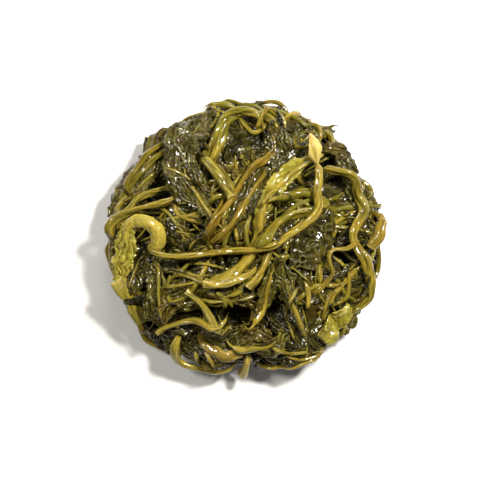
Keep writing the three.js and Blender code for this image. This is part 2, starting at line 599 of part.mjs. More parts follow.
// The strands seen from above, by their place over the table in millimetres, lowest first
const topPieces = [
  leaf("leaf_top_right", "dark", 8, [[20, 34], [26, 43], [33, 50], [42, 55]]),
  leaf("leaf_right_rim", "dark", 7, [[65, 0], [65, 12], [63, 23], [58, 33], [54, 37]]),
  leaf("leaf_left", "dark", 8, [[-56, -3], [-53, -10], [-52, -18], [-55, -26]]),
  leaf("leaf_left_centre", "dark", 7, [[-48, 15], [-41, 9], [-33, 2], [-22, -5]]),
  leaf("leaf_centre", "dark", 7, [[-13, 4], [-5, 3], [2, 10], [10, 15]]),
  leaf("leaf_lower_centre", "dark", 9, [[-42, -29], [-30, -31], [-18, -27], [-6, -27], [6, -34]]),
  leaf("leaf_lower_right", "dark", 9, [[16, -59], [25, -53], [32, -45], [38, -38]]),
  leaf("leaf_right", "dark", 9, [[60, -10], [54, -19], [44, -26], [32, -33]]),
  leaf("leaf_bottom_right", "olive", 6, [[8, -59], [17, -62], [30, -59], [42, -56]], { bare: 0.3 }),
  stalk("stalk_right_rim_cut", "stalk", 3, [[64, -5], [66, 1], [70, 7]], { end: 3.2 }),
  leaf("leaf_left_rim", "olive", 6, [
    [-62, 4], [-64, 14], [-62, 24], [-57, 33], [-50, 42], [-42, 50], [-31, 56],
  ], { thick: 2.2, bare: 0.2 }),
  stalk("stalk_left_flat", "olive", 4, [[-63, -21], [-58, -31], [-50, -43]], { flatness: 0.5 }),
  stalk("stalk_bottom_left", "stalk", 2, [[-36, -58], [-34, -64], [-26, -68], [-18, -69], [-10, -71]]),
  stalk("stalk_bottom_cut", "pale", 3, [[-2, -60], [-10, -55], [-19, -52]], { end: 2.2 }),
  stalk("stalk_rim_upper", "stalk", 2, [[-60, 24], [-56, 32], [-49, 39], [-41, 42], [-32, 44]]),
  stalk("stalk_rim_outer", "stalk", 1.8, [[-58, 28], [-52, 39], [-44, 47], [-33, 52]]),
  stalk("stalk_left_upper", "stalk", 2, [[-68, -4], [-66, 3], [-61, 10], [-53, 18], [-45, 22], [-37, 26]]),
  stalk("stalk_left_lower", "stalk", 2, [[-67, 0], [-59, 9], [-50, 14], [-40, 17], [-32, 23]]),
  leaf("leaf_bottom_long", "dark", 9, [[-43, -43], [-33, -49], [-18, -50], [-3, -46], [12, -42]]),
  leaf("leaf_bottom_short", "olive", 5, [[-6, -54], [1, -58], [8, -57], [14, -52], [21, -47]], { bare: 0.3 }),
  leaf("leaf_left_crinkled", "olive", 5, [[-44, -10], [-43, -20], [-44, -30], [-46, -38], [-43, -48]]),
  leaf("leaf_blistered", "dark", 10, [[22, -16], [31, -7], [37, 4], [44, 9], [50, 12]]),
  leaf("leaf_small_right", "dark", 6, [[51, 28], [53, 35], [48, 42], [39, 44]]),
  stalk("stalk_top_outer", "stalk", 2, [
    [-25, 31], [-18, 36], [-13, 43], [-11, 51], [-7, 59], [1, 63], [9, 63], [15, 57],
  ]),
  stalk("stalk_top_inner", "stalk", 1.9, [[-22, 38], [-18, 45], [-14, 53], [-11, 61], [-4, 64], [4, 63]]),
  stalk("stalk_top_loop", "stalk", 1.75, [[10, 62], [12, 67], [17, 69], [21, 66], [21, 61], [20, 56]]),
  leaf("leaf_top_left", "dark", 9, [
    [-13, 7], [-19, 14], [-25, 23], [-30, 33], [-29, 42], [-26, 53], [-22, 63], [-16, 71],
  ], { thick: 2, bare: 0.15 }),
  leaf("leaf_small_top", "olive", 5, [[-6, 25], [-1, 32], [3, 39], [2, 46], [-4, 49]]),
  leaf("leaf_right_leafy_stalk", "stalk", 7, [
    [39, 34], [49, 30], [58, 24], [60, 16], [57, 6], [56, -5],
    [61, -16], [63, -26], [61, -34], [54, -44], [45, -56],
  ], { thick: 2.7, bare: 0.68 }),
  stalk("stalk_lower_cut", "pale", 2.5, [[-20, -23], [-10, -22], [1, -20]]),
  stalk("stalk_orange_cut", "stalk", 2.75, [[2, -25], [7, -19], [10, -13], [12, -6]]),
  leaf("leaf_winged_stalk", "olive", 5, [[4, -43], [8, -38], [10, -29], [12, -18], [16, -8]], {
    thick: 2,
    bare: 0.15,
  }),
  leaf("leaf_lower_middle", "olive", 6, [[27, -43], [24, -36], [22, -26], [19, -16], [17, -10]], {
    thick: 1.8,
    bare: 0.3,
  }),
  stalk("stalk_lower_left", "stalk", 2.25, [[-30, -27], [-24, -32], [-19, -37], [-14, -43]]),
  stalk("stalk_bottom_inner", "stalk", 2, [[-44, -48], [-38, -43], [-28, -42], [-16, -41]]),
  stalk("stalk_curly", "stalk", 1.6, [
    [38, -26], [42, -18], [41, -13], [37, -9], [42, -5], [49, -6], [52, -2],
  ]),
  stalk("stalk_tail", "stalk", 1.6, [[-17, 3], [-14, 10], [-12, 20]]),
  leaf("leaf_long_arch", "dark", 8, [
    [-19, -3], [-12, 0], [-5, 7], [1, 18], [8, 29], [14, 39], [16, 49], [12, 57],
  ], { thick: 1.8, bare: 0.25 }),
  stalk("stalk_brown", "stalk", 1.8, [[-20, 1], [-14, 6], [-10, 14], [-5, 23], [1, 31], [9, 38], [13, 45]]),
  stalk("stalk_pale_cut", "pale", 2.8, [[-9, 22], [-11, 28], [-15, 34], [-20, 39]], { end: 2.4 }),
  leaf("leaf_winged_arch", "stalk", 5, [
    [-17, -21], [-7, -18], [2, -11], [6, 0], [7, 11], [11, 20], [19, 29], [27, 34], [35, 37],
  ], { thick: 2.25, bare: 0.55 }),
  stalk("stalk_turned_back", "stalk", 3, [
    [9, 0], [15, 7], [25, 12], [36, 14], [43, 18], [39, 22], [27, 23], [17, 19], [11, 16],
  ], { end: 2 }),
  leaf("leaf_curled", "dark", 4, [[-42, -43], [-38, -35], [-32, -30], [-26, -33]]),
  leaf("leaf_pale_tip", "pale", 5, [[36, -49], [41, -44], [47, -39], [53, -35]]),
  stalk("stalk_pale_curl", "pale", 3.6, [
    [-47, -7], [-42, -4], [-41, 2], [-46, 7], [-52, 10],
    [-58, 8], [-60, 1], [-61, -7], [-63, -14], [-64, -20],
  ], { end: 4.2, flatness: 0.32 }),
  stalk("stalk_long_winding", "stalk", 2.5, [
    [32, 51], [34, 45], [36, 36], [38, 28], [37, 18], [33, 9], [23, 2], [12, -4],
    [2, -6], [-9, -7], [-19, -8], [-30, -9], [-42, -8], [-51, -3],
  ], { end: 1.7 }),
];

for (const piece of upperBundles) {
  lay({ ...piece, line: piece.line.map((bend) => overTable(bend, 1)), passes: 1 });
}
for (const piece of sidePieces) {
  lay({ ...piece, line: piece.line.map((bend) => roundTheSide(bend, DEEPEST_SHARE)), passes: 1 });
}
for (const [index, piece] of topPieces.entries()) {
  const share = lerp(DEEPEST_SHARE, 1, index / (topPieces.length - 1));
  lay({ ...piece, line: piece.line.map((bend) => overTable(bend, share)), passes: PLACING_PASSES });
}

// The middle of the mound's box comes over the origin.
const box = new THREE.Box3().setFromObject(bunch);
const middle = box.getCenter(new THREE.Vector3());
for (const mesh of bunch.children) mesh.geometry.translate(-middle.x, -middle.y, -box.min.z);

export default bunch;
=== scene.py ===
import json
import math
from functools import partial
import bpy
import numpy as np
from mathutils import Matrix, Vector
from mathutils.bvhtree import BVHTree
from numpy.linalg import norm

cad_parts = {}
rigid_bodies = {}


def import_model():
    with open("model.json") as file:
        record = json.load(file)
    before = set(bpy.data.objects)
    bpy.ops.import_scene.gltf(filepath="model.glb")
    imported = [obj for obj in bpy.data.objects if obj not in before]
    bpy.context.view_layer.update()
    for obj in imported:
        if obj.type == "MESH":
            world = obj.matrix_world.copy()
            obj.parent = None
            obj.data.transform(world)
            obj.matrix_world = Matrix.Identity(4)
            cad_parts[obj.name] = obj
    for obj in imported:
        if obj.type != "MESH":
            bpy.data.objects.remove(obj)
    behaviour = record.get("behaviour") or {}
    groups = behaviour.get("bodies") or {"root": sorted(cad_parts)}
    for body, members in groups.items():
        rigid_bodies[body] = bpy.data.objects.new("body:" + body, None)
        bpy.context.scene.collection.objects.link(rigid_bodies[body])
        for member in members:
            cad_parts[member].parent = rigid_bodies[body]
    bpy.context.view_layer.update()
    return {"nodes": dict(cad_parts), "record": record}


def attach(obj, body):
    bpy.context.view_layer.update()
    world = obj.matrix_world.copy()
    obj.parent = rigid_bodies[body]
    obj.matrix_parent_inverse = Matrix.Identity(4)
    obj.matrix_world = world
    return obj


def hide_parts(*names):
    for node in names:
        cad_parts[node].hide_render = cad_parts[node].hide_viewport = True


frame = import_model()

# The folded leaves inside the mound: whole handfuls of soft dark leaves, pressed against each other
# in the pan, painted near black as shade. They are skins with deep folds, drawn over the rings of the
# imported bundles.
# Lengths in the making of the meshes are millimetres.


def rings_of(name):
    """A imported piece's rings of corners from its cut end to its tip, each from its right edge upwards."""
    mesh = frame["nodes"][name].data
    corners = np.empty(3 * len(mesh.vertices))
    mesh.vertices.foreach_get("co", corners)
    places, same = np.unique(corners.reshape(-1, 3).round(6), axis=0, return_inverse=True)
    same = same.ravel()
    beside = [set() for _ in places]
    third = {}
    for face in mesh.polygons:
        a, b, c = (int(same[corner]) for corner in face.vertices)
        for p, q, r in ((a, b, c), (b, c, a), (c, a, b)):
            third[p, q] = r
            beside[p] |= {q, r}
    caps = sorted(range(len(places)), key=lambda corner: len(beside[corner]))[-2:]
    start, tip = sorted(caps, key=lambda cap: norm(places[list(beside[cap])].mean(0) - places[cap]))

    def sizes_from(cap):
        seen, ring, sizes = {start, tip}, beside[cap], []
        while ring:
            sizes.append(len(ring))
            seen |= ring
            ring = set().union(*(beside[corner] for corner in ring)) - seen
        return sizes

    # The walk starts at the end from which all the rings come out the same.
    whole = min((tip, start), key=lambda cap: len(set(sizes_from(cap))))
    lattice, before, seen, ring = [], {whole}, {start, tip}, beside[whole]
    while ring:
        follows = {p: q for (p, q), r in third.items() if p in ring and q in ring and r in before}
        order = [min(ring)]
        while len(order) < len(ring) and order[-1] in follows:
            order.append(follows[order[-1]])
        if len(order) == len(ring) and lattice:
            turns = [order[step:] + order[:step] for step in range(len(order))]
            order = max(turns, key=lambda turn: sum(b in beside[a] for a, b in zip(lattice[-1], turn)))
        elif lattice:
            # The flat end's faces may be joined across the ring, so its corners go by their nearness.
            order, left_over = [], set(ring)
            for corner, further in zip(lattice[-1], lattice[-2]):
                spot = 2 * places[corner] - places[further]
                near = (beside[corner] & left_over) or left_over
                order.append(min(near, key=lambda other: norm(places[other] - spot)))
                left_over.remove(order[-1])
        lattice.append(order)
        before = ring
        seen |= ring
        ring = set().union(*(beside[corner] for corner in ring)) - seen
    if whole == tip:
        lattice = [order[::-1] for order in reversed(lattice)]
    sides = len(lattice[0])
    pairs = list(zip(lattice, lattice[1:]))
    slants = [sum(b[(j + 1) % sides] in beside[a[j]] for a, b in pairs) for j in range(sides)]
    over = [sum(slants[(turn + j) % sides] for j in range(sides // 2)) for turn in range(sides)]
    return 1000 * np.roll(places[np.array(lattice)], -over.index(max(over)), axis=1)


def drawn_out(rows, count, closed=False):
    """Rows of points drawn out to another count of rows, along smooth curves."""
    n = len(rows)
    if closed:
        padded = np.concatenate([rows[-1:], rows, rows[:2]])
        spots = np.arange(count) * n / count
    else:
        padded = np.concatenate([2 * rows[:1] - rows[1:2], rows, 2 * rows[-1:] - rows[-2:-1]])
        spots = np.linspace(0, n - 1, count)
    low = np.minimum(spots.astype(int), n - 1 if closed else n - 2)
    part = (spots - low).reshape((-1,) + (1,) * (rows.ndim - 1))
    return (
        (1 - part) ** 3 * padded[low]
        + (3 * part**3 - 6 * part**2 + 4) * padded[low + 1]
        + (-3 * part**3 + 3 * part**2 + 3 * part + 1) * padded[low + 2]
        + part**3 * padded[low + 3]
    ) / 6


def drawn_sheet(lattice, spacing):
    """A grid of points drawn out until they stand about so far apart, both ways."""
    length = norm(np.diff(lattice, axis=0), axis=-1).sum(axis=0).mean()
    width = norm(np.diff(lattice, axis=1), axis=-1).sum(axis=1).max()
    lattice = drawn_out(lattice, max(round(length / spacing), 5))
    return drawn_out(lattice.swapaxes(0, 1), max(round(width / spacing), 5)).swapaxes(0, 1)


def unit(vectors):
    return vectors / np.maximum(norm(vectors, axis=-1, keepdims=True), 1e-9)


def noise(x, y, z, seed):
    """Smooth noise from -1 to 1, with about one bump to a unit."""
    points = np.stack(np.broadcast_arrays(x, y, z), axis=-1).astype(float)
    base = np.floor(points).astype(np.int64)
    part = points - base
    part = part * part * (3 - 2 * part)
    total = 0
    for corner in np.ndindex(2, 2, 2):
        spot = (base + corner).astype(np.uint64)
        mixed = spot @ np.array([73856093, 19349663, 83492791], dtype=np.uint64) + np.uint64(seed * 2654435)
        mixed = ((mixed ^ (mixed >> np.uint64(15))) * np.uint64(2246822519)) & np.uint64(0xFFFFFFFF)
        mixed = ((mixed ^ (mixed >> np.uint64(13))) * np.uint64(3266489917)) & np.uint64(0xFFFFFFFF)
        value = (mixed & np.uint64(0xFFFF)).astype(float) / 32767.5 - 1
        total = total + value * np.prod(np.where(corner, part, 1 - part), axis=-1)
    return total


def wilted(
    sheet, seed, fold_width=2.6, fold_depth=1.5, lean=1.0, pucker=0.5, wrinkle=0.15, ragged=1.2, gather=1.0,
    closed=False,
):
    """A smooth grid of points gathered into folds along it, with puckers, wrinkles and ragged margins. Gives
    the points, how high each stands from a crease, 0, to a fold's back, 1, and its place on the skin."""
    along = np.gradient(sheet, axis=0)
    if closed:
        across = (np.roll(sheet, -1, axis=1) - np.roll(sheet, 1, axis=1)) / 2
    else:
        across = np.gradient(sheet, axis=1)
    out, left = unit(np.cross(along, across)), unit(across)
    steps = norm(across, axis=-1)
    v = np.cumsum(norm(along, axis=-1).mean(axis=1))[:, None] * np.ones_like(steps)
    u = np.cumsum(steps, axis=1)
    u = u - u[:, u.shape[1] // 2][:, None]
    x, y, z = np.moveaxis(sheet, -1, 0)

    def bumps(size, further):
        return noise(x / size, y / size, z / size, seed + further)

    drift = bumps(9, 0) + 0.8 * bumps(3.5, 1)
    if closed:
        folds = max(4, round(float(steps.sum(axis=1).mean()) / fold_width))
        phase = np.linspace(0, np.pi * folds, sheet.shape[1], endpoint=False)[None] + 2.2 * drift
    else:
        phase = np.pi * (u / fold_width + 1.4 * drift)
    height = 1 - (1 - np.abs(np.sin(phase))) * np.clip(0.85 + 0.6 * bumps(6, 2), 0.4, 1.4)
    puckers = 1 - np.abs(bumps(2.6, 3)) * 2.2
    fine = 1 - np.abs(bumps(1.3, 4)) * 2
    finest = 1 - np.abs(bumps(0.8, 5)) * 2
    rise = fold_depth * (height - 0.6) + pucker * (puckers - 0.3) + wrinkle * (fine + 0.4 * finest - 0.4)
    rise = rise + gather * bumps(6, 10)
    sway = lean * (height - 0.5) * (0.6 + 1.6 * bumps(11, 6))
    if not closed:
        side = np.linspace(-1, 1, sheet.shape[1])[None]
        edge = np.clip((np.abs(side) - 0.6) / 0.4, 0, 1) ** 1.5
        side = np.sign(side)
        frill = noise(v / 2, side, 0, seed + 8) + 0.6 * noise(v / 0.9, side, 0, seed + 9) - 0.3
        rise = rise + 1.1 * ragged * edge * noise(v / 3.2, side, v / 9, seed + 7)
        sway = sway + ragged * side * edge * frill
    stands = fold_depth * (height - 0.75) + pucker * (puckers - 0.3) + wrinkle * fine
    crease = np.clip(0.62 + 0.42 * stands, 0, 1)
    grain = np.stack([u, np.full_like(u, 7.0 * seed), v], axis=-1)
    return sheet + out * rise[..., None] + left * sway[..., None], crease, grain


def plain_mesh(piece):
    """The mesh that a piece's modifier makes of it. The modifier is removed."""
    mesh = bpy.data.meshes.new_from_object(piece.evaluated_get(bpy.context.evaluated_depsgraph_get()))
    piece.modifiers.clear()
    return mesh


def skin(name, sheets, closed=False, thickness=0):
    """A piece of one or more grids of points, each with its crease, grain and tone for the material."""
    points, faces, kept = [], [], {"crease": [], "grain": [], "tone": []}
    count = 0
    for places, crease, grain, tone in sheets:
        rows, columns = places.shape[:2]
        index = count + np.arange(rows * columns).reshape(rows, columns)
        if closed:
            index = np.hstack([index, index[:, :1]])
        quads = np.stack([index[:-1, :-1], index[1:, :-1], index[1:, 1:], index[:-1, 1:]], axis=-1)
        faces += quads.reshape(-1, 4).tolist()
        values = {
            "crease": crease.ravel(), "grain": grain.reshape(-1, 3),
            "tone": np.broadcast_to(tone, (rows, columns)).ravel(),
        }
        points.append(places.reshape(-1, 3))
        count += rows * columns
        if closed:
            points.append(np.stack([places[0].mean(axis=0), places[-1].mean(axis=0)]))
            values = {key: np.concatenate([value, value[:1], value[-1:]]) for key, value in values.items()}
            faces += [[count, int(a), int(b)] for a, b in zip(index[0], index[0][1:])]
            faces += [[count + 1, int(b), int(a)] for a, b in zip(index[-1], index[-1][1:])]
            count += 2
        for key, value in values.items():
            kept[key].append(value)
    mesh = bpy.data.meshes.new(name)
    mesh.from_pydata((0.001 * np.vstack(points)).tolist(), [], faces)
    for key, parts in kept.items():
        value = np.concatenate(parts)
        layer = mesh.attributes.new(key, "FLOAT_VECTOR" if value.ndim == 2 else "FLOAT", "POINT")
        layer.data.foreach_set("vector" if value.ndim == 2 else "value", value.astype(np.float32).ravel())
    mesh.shade_smooth()
    piece = bpy.data.objects.new(name, mesh)
    bpy.context.scene.collection.objects.link(piece)
    if thickness:
        solid = piece.modifiers.new("thickness", "SOLIDIFY")
        solid.thickness = 0.001 * thickness
        solid.offset = 0
        piece.data = plain_mesh(piece)
    return piece


def add_node(tree, kind, inputs=None, **settings):
    """A node of a tree. Each input takes a value or another node's output."""
    node = tree.nodes.new(kind)
    for setting, value in settings.items():
        setattr(node, setting, value)
    for socket, value in (inputs or {}).items():
        if isinstance(value, bpy.types.NodeSocket):
            tree.links.new(value, node.inputs[socket])
        else:
            node.inputs[socket].default_value = value
    return node


def worked_out(tree, operation, *values, clamp=False):
    inputs = dict(enumerate(values))
    return add_node(tree, "ShaderNodeMath", inputs, operation=operation, use_clamp=clamp).outputs[0]


def stretched(tree, value, lowest, highest):
    """A value from 0 to 1 as it goes from its lowest to its highest."""
    inputs = {"Value": value, "From Min": lowest, "From Max": highest}
    return add_node(tree, "ShaderNodeMapRange", inputs).outputs[0]


def spotted(tree, vector, scale, detail):
    inputs = {"Vector": vector, "Scale": scale, "Detail": detail}
    return add_node(tree, "ShaderNodeTexNoise", inputs).outputs["Fac"]


def kept_value(tree, name, vector=False):
    return add_node(tree, "ShaderNodeAttribute", attribute_name=name).outputs["Vector" if vector else "Fac"]


def mixed_colour(tree, share, first, second):
    node = add_node(tree, "ShaderNodeMix", data_type="RGBA")
    for socket, value in zip([node.inputs[0], node.inputs[6], node.inputs[7]], [share, first, second]):
        if isinstance(value, bpy.types.NodeSocket):
            tree.links.new(value, socket)
        else:
            socket.default_value = value
    return node.outputs[2]


def group_with(name, colours, numbers):
    """An empty shader group with its named colours and numbers, which puts out what a flesh needs."""
    tree = bpy.data.node_groups.new(name, "ShaderNodeTree")
    for key in colours:
        tree.interface.new_socket(key, in_out="INPUT", socket_type="NodeSocketColor")
    for key in numbers:
        tree.interface.new_socket(key, in_out="INPUT", socket_type="NodeSocketFloat")
    for key, kind in (("Color", "Color"), ("Roughness", "Float"), ("Height", "Float"), ("Oil", "Float")):
        tree.interface.new_socket(key, in_out="OUTPUT", socket_type=f"NodeSocket{kind}")
    return tree, tree.nodes.new("NodeGroupInput").outputs, tree.nodes.new("NodeGroupOutput").inputs


# Cooked leaf flesh: olive, with a net of paler veins, brownish blotches, and a puckered, oily skin.
# Painted shade turns it near black in each crease, and a painted highlight turns it paler on the folds'
# backs.
leaf_flesh, given, made = group_with(
    "cooked leaf flesh",
    colours=("Crease Colour", "Dark Colour", "Olive Colour", "Fold Colour", "Vein Colour", "Blotch Colour"),
    numbers=("Blotches", "Veins"),
)
leaf_math = partial(worked_out, leaf_flesh)
place = add_node(leaf_flesh, "ShaderNodeTexCoord").outputs["Object"]
grain = kept_value(leaf_flesh, "grain", vector=True)
crease = kept_value(leaf_flesh, "crease")
tone = kept_value(leaf_flesh, "tone")
net = {"Vector": grain, "Scale": 0.75}
net = add_node(leaf_flesh, "ShaderNodeTexVoronoi", net, feature="DISTANCE_TO_EDGE")
cells = stretched(leaf_flesh, net.outputs["Distance"], 0.0, 0.22)
drawn = add_node(leaf_flesh, "ShaderNodeMapping", {"Vector": grain, "Scale": (1.3, 1.0, 0.4)}).outputs[0]
small = spotted(leaf_flesh, drawn, 1.0, 2)
patch = spotted(leaf_flesh, place, 150, 3)
wide = spotted(leaf_flesh, place, 50, 2)
olive = leaf_math("MULTIPLY_ADD", patch, 1.6, leaf_math("MULTIPLY_ADD", wide, 1.4, -1.55))
olive = leaf_math("ADD", olive, tone, clamp=True)
colour = mixed_colour(leaf_flesh, olive, given["Dark Colour"], given["Olive Colour"])
# Painted shade: the flesh goes to the painted crease shade colour the deeper it lies in a crease.
lit = leaf_math("MULTIPLY_ADD", small, 0.8, leaf_math("MULTIPLY_ADD", crease, 1.1, -0.4))
share = leaf_math("ADD", lit, 0.0, clamp=True)
colour = mixed_colour(leaf_flesh, share, given["Crease Colour"], colour)
# Painted highlight: the flesh goes paler, to the painted fold highlight colour, on the folds' backs.
raised = stretched(leaf_flesh, lit, 0.65, 1.05)
raised = leaf_math("MULTIPLY", raised, leaf_math("MULTIPLY_ADD", olive, 0.8, 0.2))
colour = mixed_colour(leaf_flesh, raised, colour, given["Fold Colour"])
vein = leaf_math("MULTIPLY", leaf_math("SUBTRACT", 1.0, cells), given["Veins"])
colour = mixed_colour(leaf_flesh, vein, colour, given["Vein Colour"])
brown = leaf_math("MULTIPLY", stretched(leaf_flesh, wide, 0.5, 0.68), given["Blotches"])
colour = mixed_colour(leaf_flesh, brown, colour, given["Blotch Colour"])
leaf_flesh.links.new(colour, made["Color"])
leaf_flesh.links.new(leaf_math("MULTIPLY_ADD", patch, 0.5, -0.06), made["Roughness"])
height = leaf_math("MULTIPLY_ADD", small, 0.9, leaf_math("MULTIPLY", cells, 0.4))
height = leaf_math("MULTIPLY_ADD", spotted(leaf_flesh, place, 1200, 2), 0.6, height)
leaf_flesh.links.new(leaf_math("MULTIPLY_ADD", patch, 0.8, height), made["Height"])
oil = leaf_math("MULTIPLY_ADD", stretched(leaf_flesh, patch, 0.44, 0.58), 0.85, 0.15)
leaf_flesh.links.new(oil, made["Oil"])


def oily_material(name, flesh, bump, coat, clearness, **values):
    """A material of a flesh group under a thin coat of oil. Its values are named as the group's are."""
    material = bpy.data.materials.new(name)
    material.use_nodes = True
    tree = material.node_tree
    shader = tree.nodes["Principled BSDF"]
    group = add_node(tree, "ShaderNodeGroup", node_tree=flesh)
    for key, value in values.items():
        value = (*value, 1) if isinstance(value, tuple) else value
        group.inputs[key.replace("_", " ").title()].default_value = value
    raised = {"Height": group.outputs["Height"], "Strength": bump, "Distance": 0.0005}
    tree.links.new(group.outputs["Color"], shader.inputs["Base Color"])
    tree.links.new(group.outputs["Roughness"], shader.inputs["Roughness"])
    tree.links.new(add_node(tree, "ShaderNodeBump", raised).outputs["Normal"], shader.inputs["Normal"])
    shader.inputs["Specular IOR Level"].default_value = 0.05
    tree.links.new(worked_out(tree, "MULTIPLY", group.outputs["Oil"], coat), shader.inputs["Coat Weight"])
    shader.inputs["Coat Roughness"].default_value = 0.04
    shader.inputs["Subsurface Weight"].default_value = clearness
    shader.inputs["Subsurface Radius"].default_value = (1.0, 0.8, 0.2)
    shader.inputs["Subsurface Scale"].default_value = 0.0015
    return material


LEAF_LOOKS = (
    # name, bump, oil, clearness, blotches, veins, and the colours of the painted crease shade, dark and olive
    # flesh, the painted fold highlight, veins and blotches
    ("dark wilted leaf", 0.35, 1.0, 0.0, 0.45, 0.15, (0.003, 0.002, 0.001), (0.024, 0.020, 0.004),
     (0.078, 0.065, 0.009), (0.170, 0.140, 0.019), (0.125, 0.102, 0.010), (0.060, 0.032, 0.003)),
    # The torn leaf is a darker copy of the dark wilted leaf: painted shade between the strands.
    ("torn leaf in painted shade", 0.35, 0.9, 0.0, 0.45, 0.15, (0.002, 0.002, 0.001), (0.014, 0.012, 0.003),
     (0.052, 0.044, 0.007), (0.115, 0.094, 0.014), (0.085, 0.068, 0.006), (0.040, 0.022, 0.002)),
    # The leaf deep inside is a near-black copy: painted shade deep in the mound.
    ("leaf deep inside in painted shade", 0.3, 0.0, 0.0, 0.4, 0.1, (0.002, 0.002, 0.001), (0.007, 0.006, 0.001),
     (0.016, 0.013, 0.002), (0.030, 0.024, 0.003), (0.022, 0.018, 0.003), (0.012, 0.008, 0.001)),
    ("pale wilted leaf", 0.3, 1.0, 0.25, 0.2, 0.05, (0.120, 0.100, 0.008), (0.180, 0.155, 0.014),
     (0.290, 0.250, 0.030), (0.400, 0.345, 0.070), (0.330, 0.285, 0.045), (0.220, 0.160, 0.014)),
)
# The folds colour of each look is its painted fold highlight.
dark_leaf, torn_leaf, shaded_deep_leaf, pale_leaf = (
    oily_material(
        name, leaf_flesh, bump, oil, clearness, blotches=blotches, veins=veins, crease_colour=crease_shade,
        dark_colour=dark, olive_colour=olive, fold_colour=folds, vein_colour=net, blotch_colour=brown,
    )
    for name, bump, oil, clearness, blotches, veins, crease_shade, dark, olive, folds, net, brown in LEAF_LOOKS
)


def finished(piece, material, slot, *nodes):
    """Gives a piece its material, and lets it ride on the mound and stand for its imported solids."""
    piece.data.materials.clear()
    piece.data.materials.append(material)
    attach(piece, "root")
    if nodes:
        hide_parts(*nodes)


slot_of = {part["node"]: part["material_slot"] for part in frame["record"]["subparts"]}
INNER_BUNDLES = ("heart", "front_left", "front_right", "back", "upper_left", "upper_right", "upper_middle")
for number, word in enumerate(INNER_BUNDLES):
    rings = rings_of(f"inner_bundle_{word}")
    length = norm(np.diff(rings.mean(axis=1), axis=0), axis=-1).sum()
    around = norm(np.diff(rings, axis=1), axis=-1).sum(axis=1).mean()
    smooth = drawn_out(rings, round(length / 1.2))
    smooth = drawn_out(smooth.swapaxes(0, 1), round(around / 1.2), closed=True).swapaxes(0, 1)
    folded, crease, grain = wilted(
        smooth, 100 + 10 * number, fold_width=5, fold_depth=2.2, lean=1.2, pucker=0.9, wrinkle=0.4,
        closed=True,
    )
    # Where a bundle lies on the table it stays flat. Dark gaps open over it between the strands, and its
    # near-black flesh is painted shade.
    folded = smooth + (folded - smooth) * np.clip(smooth[..., 2:] / 3, 0, 1)
    folded = folded * (1 - 4.5 / norm(folded, axis=-1, keepdims=True).clip(20))
    folded[..., 2] = np.maximum(folded[..., 2], 0)
    piece = skin(f"folded_leaves_{word}", [(folded, crease, grain, 0.1)], closed=True)
    finished(piece, shaded_deep_leaf, "leaf_dark", f"inner_bundle_{word}")

# The limp stalks: juicy stems, round or pressed flat, ribbed and grooved along their length and
# thicker where leaves grew from them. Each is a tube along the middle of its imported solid.
stalk_tree = bpy.data.node_groups.new("limp stalk", "GeometryNodeTree")
for key, kind in (
    ("Path", "Geometry"), ("Sides", "Int"), ("Spacing", "Float"), ("Flatness", "Float"), ("Ribs", "Float"),
    ("Rib Depth", "Float"), ("Groove", "Float"), ("Lumps", "Float"), ("Seed", "Float"),
    ("Material", "Material"),
):
    stalk_tree.interface.new_socket(key, in_out="INPUT", socket_type=f"NodeSocket{kind}")
stalk_tree.interface.new_socket("Stalk", in_out="OUTPUT", socket_type="NodeSocketGeometry")
given = stalk_tree.nodes.new("NodeGroupInput").outputs
tube_math = partial(worked_out, stalk_tree)


def tube_node(kind, inputs=None, **settings):
    return add_node(stalk_tree, f"GeometryNode{kind}", inputs, **settings).outputs[0]


def named(name, data_type="FLOAT"):
    return tube_node("InputNamedAttribute", {"Name": name}, data_type=data_type)


def stored(geometry, name, value, data_type="FLOAT"):
    inputs = {"Geometry": geometry, "Name": name, "Value": value}
    return tube_node("StoreNamedAttribute", inputs, data_type=data_type, domain="POINT")


path = tube_node("MeshToCurve", {"Mesh": given["Path"]})
path = tube_node("SetCurveNormal", {"Curve": path, "Normal": named("upward", "FLOAT_VECTOR")}, mode="FREE")
path = tube_node("ResampleCurve", {"Curve": path, "Length": given["Spacing"]}, mode="LENGTH")
spot = stalk_tree.nodes.new("GeometryNodeSplineParameter").outputs
path = stored(path, "reached", spot["Length"])
circle = tube_node("CurvePrimitiveCircle", {"Resolution": given["Sides"], "Radius": 1.0}, mode="RADIUS")
circle = stored(circle, "around", spot["Factor"])
squashed = {"X": 1.0, "Y": given["Flatness"], "Z": 1.0}
squashed = add_node(stalk_tree, "ShaderNodeCombineXYZ", squashed).outputs[0]
circle = tube_node("Transform", {"Geometry": circle, "Scale": squashed})
girth = named("girth")
tube = {"Curve": path, "Profile Curve": circle, "Scale": girth, "Fill Caps": True}
tube = tube_node("CurveToMesh", tube)
angle = tube_math("MULTIPLY", named("around"), 2 * math.pi)
length = named("reached")
swirl = {"W": tube_math("MULTIPLY_ADD", length, 60.0, given["Seed"]), "Scale": 1.0, "Detail": 1.0}
swirl = add_node(stalk_tree, "ShaderNodeTexNoise", swirl, noise_dimensions="1D").outputs["Fac"]
ribs = tube_math("MULTIPLY_ADD", angle, given["Ribs"], tube_math("MULTIPLY", swirl, 7.0))
ribs = tube_math("SINE", ribs)
turned = tube_math("MULTIPLY_ADD", swirl, 5.0, tube_math("SUBTRACT", angle, 4.0))
channel = tube_math("MAXIMUM", tube_math("COSINE", turned), 0.0)
channel = tube_math("POWER", channel, 9.0)
tube = stored(tube, "rib", tube_math("MULTIPLY_ADD", channel, -2.0, ribs))
lump = spotted(stalk_tree, tube_node("InputPosition"), 240.0, 2.0)
lump = tube_math("MULTIPLY", tube_math("SUBTRACT", lump, 0.5), given["Lumps"])
rise = tube_math("MULTIPLY", ribs, given["Rib Depth"])
rise = tube_math("SUBTRACT", rise, tube_math("MULTIPLY", channel, given["Groove"]))
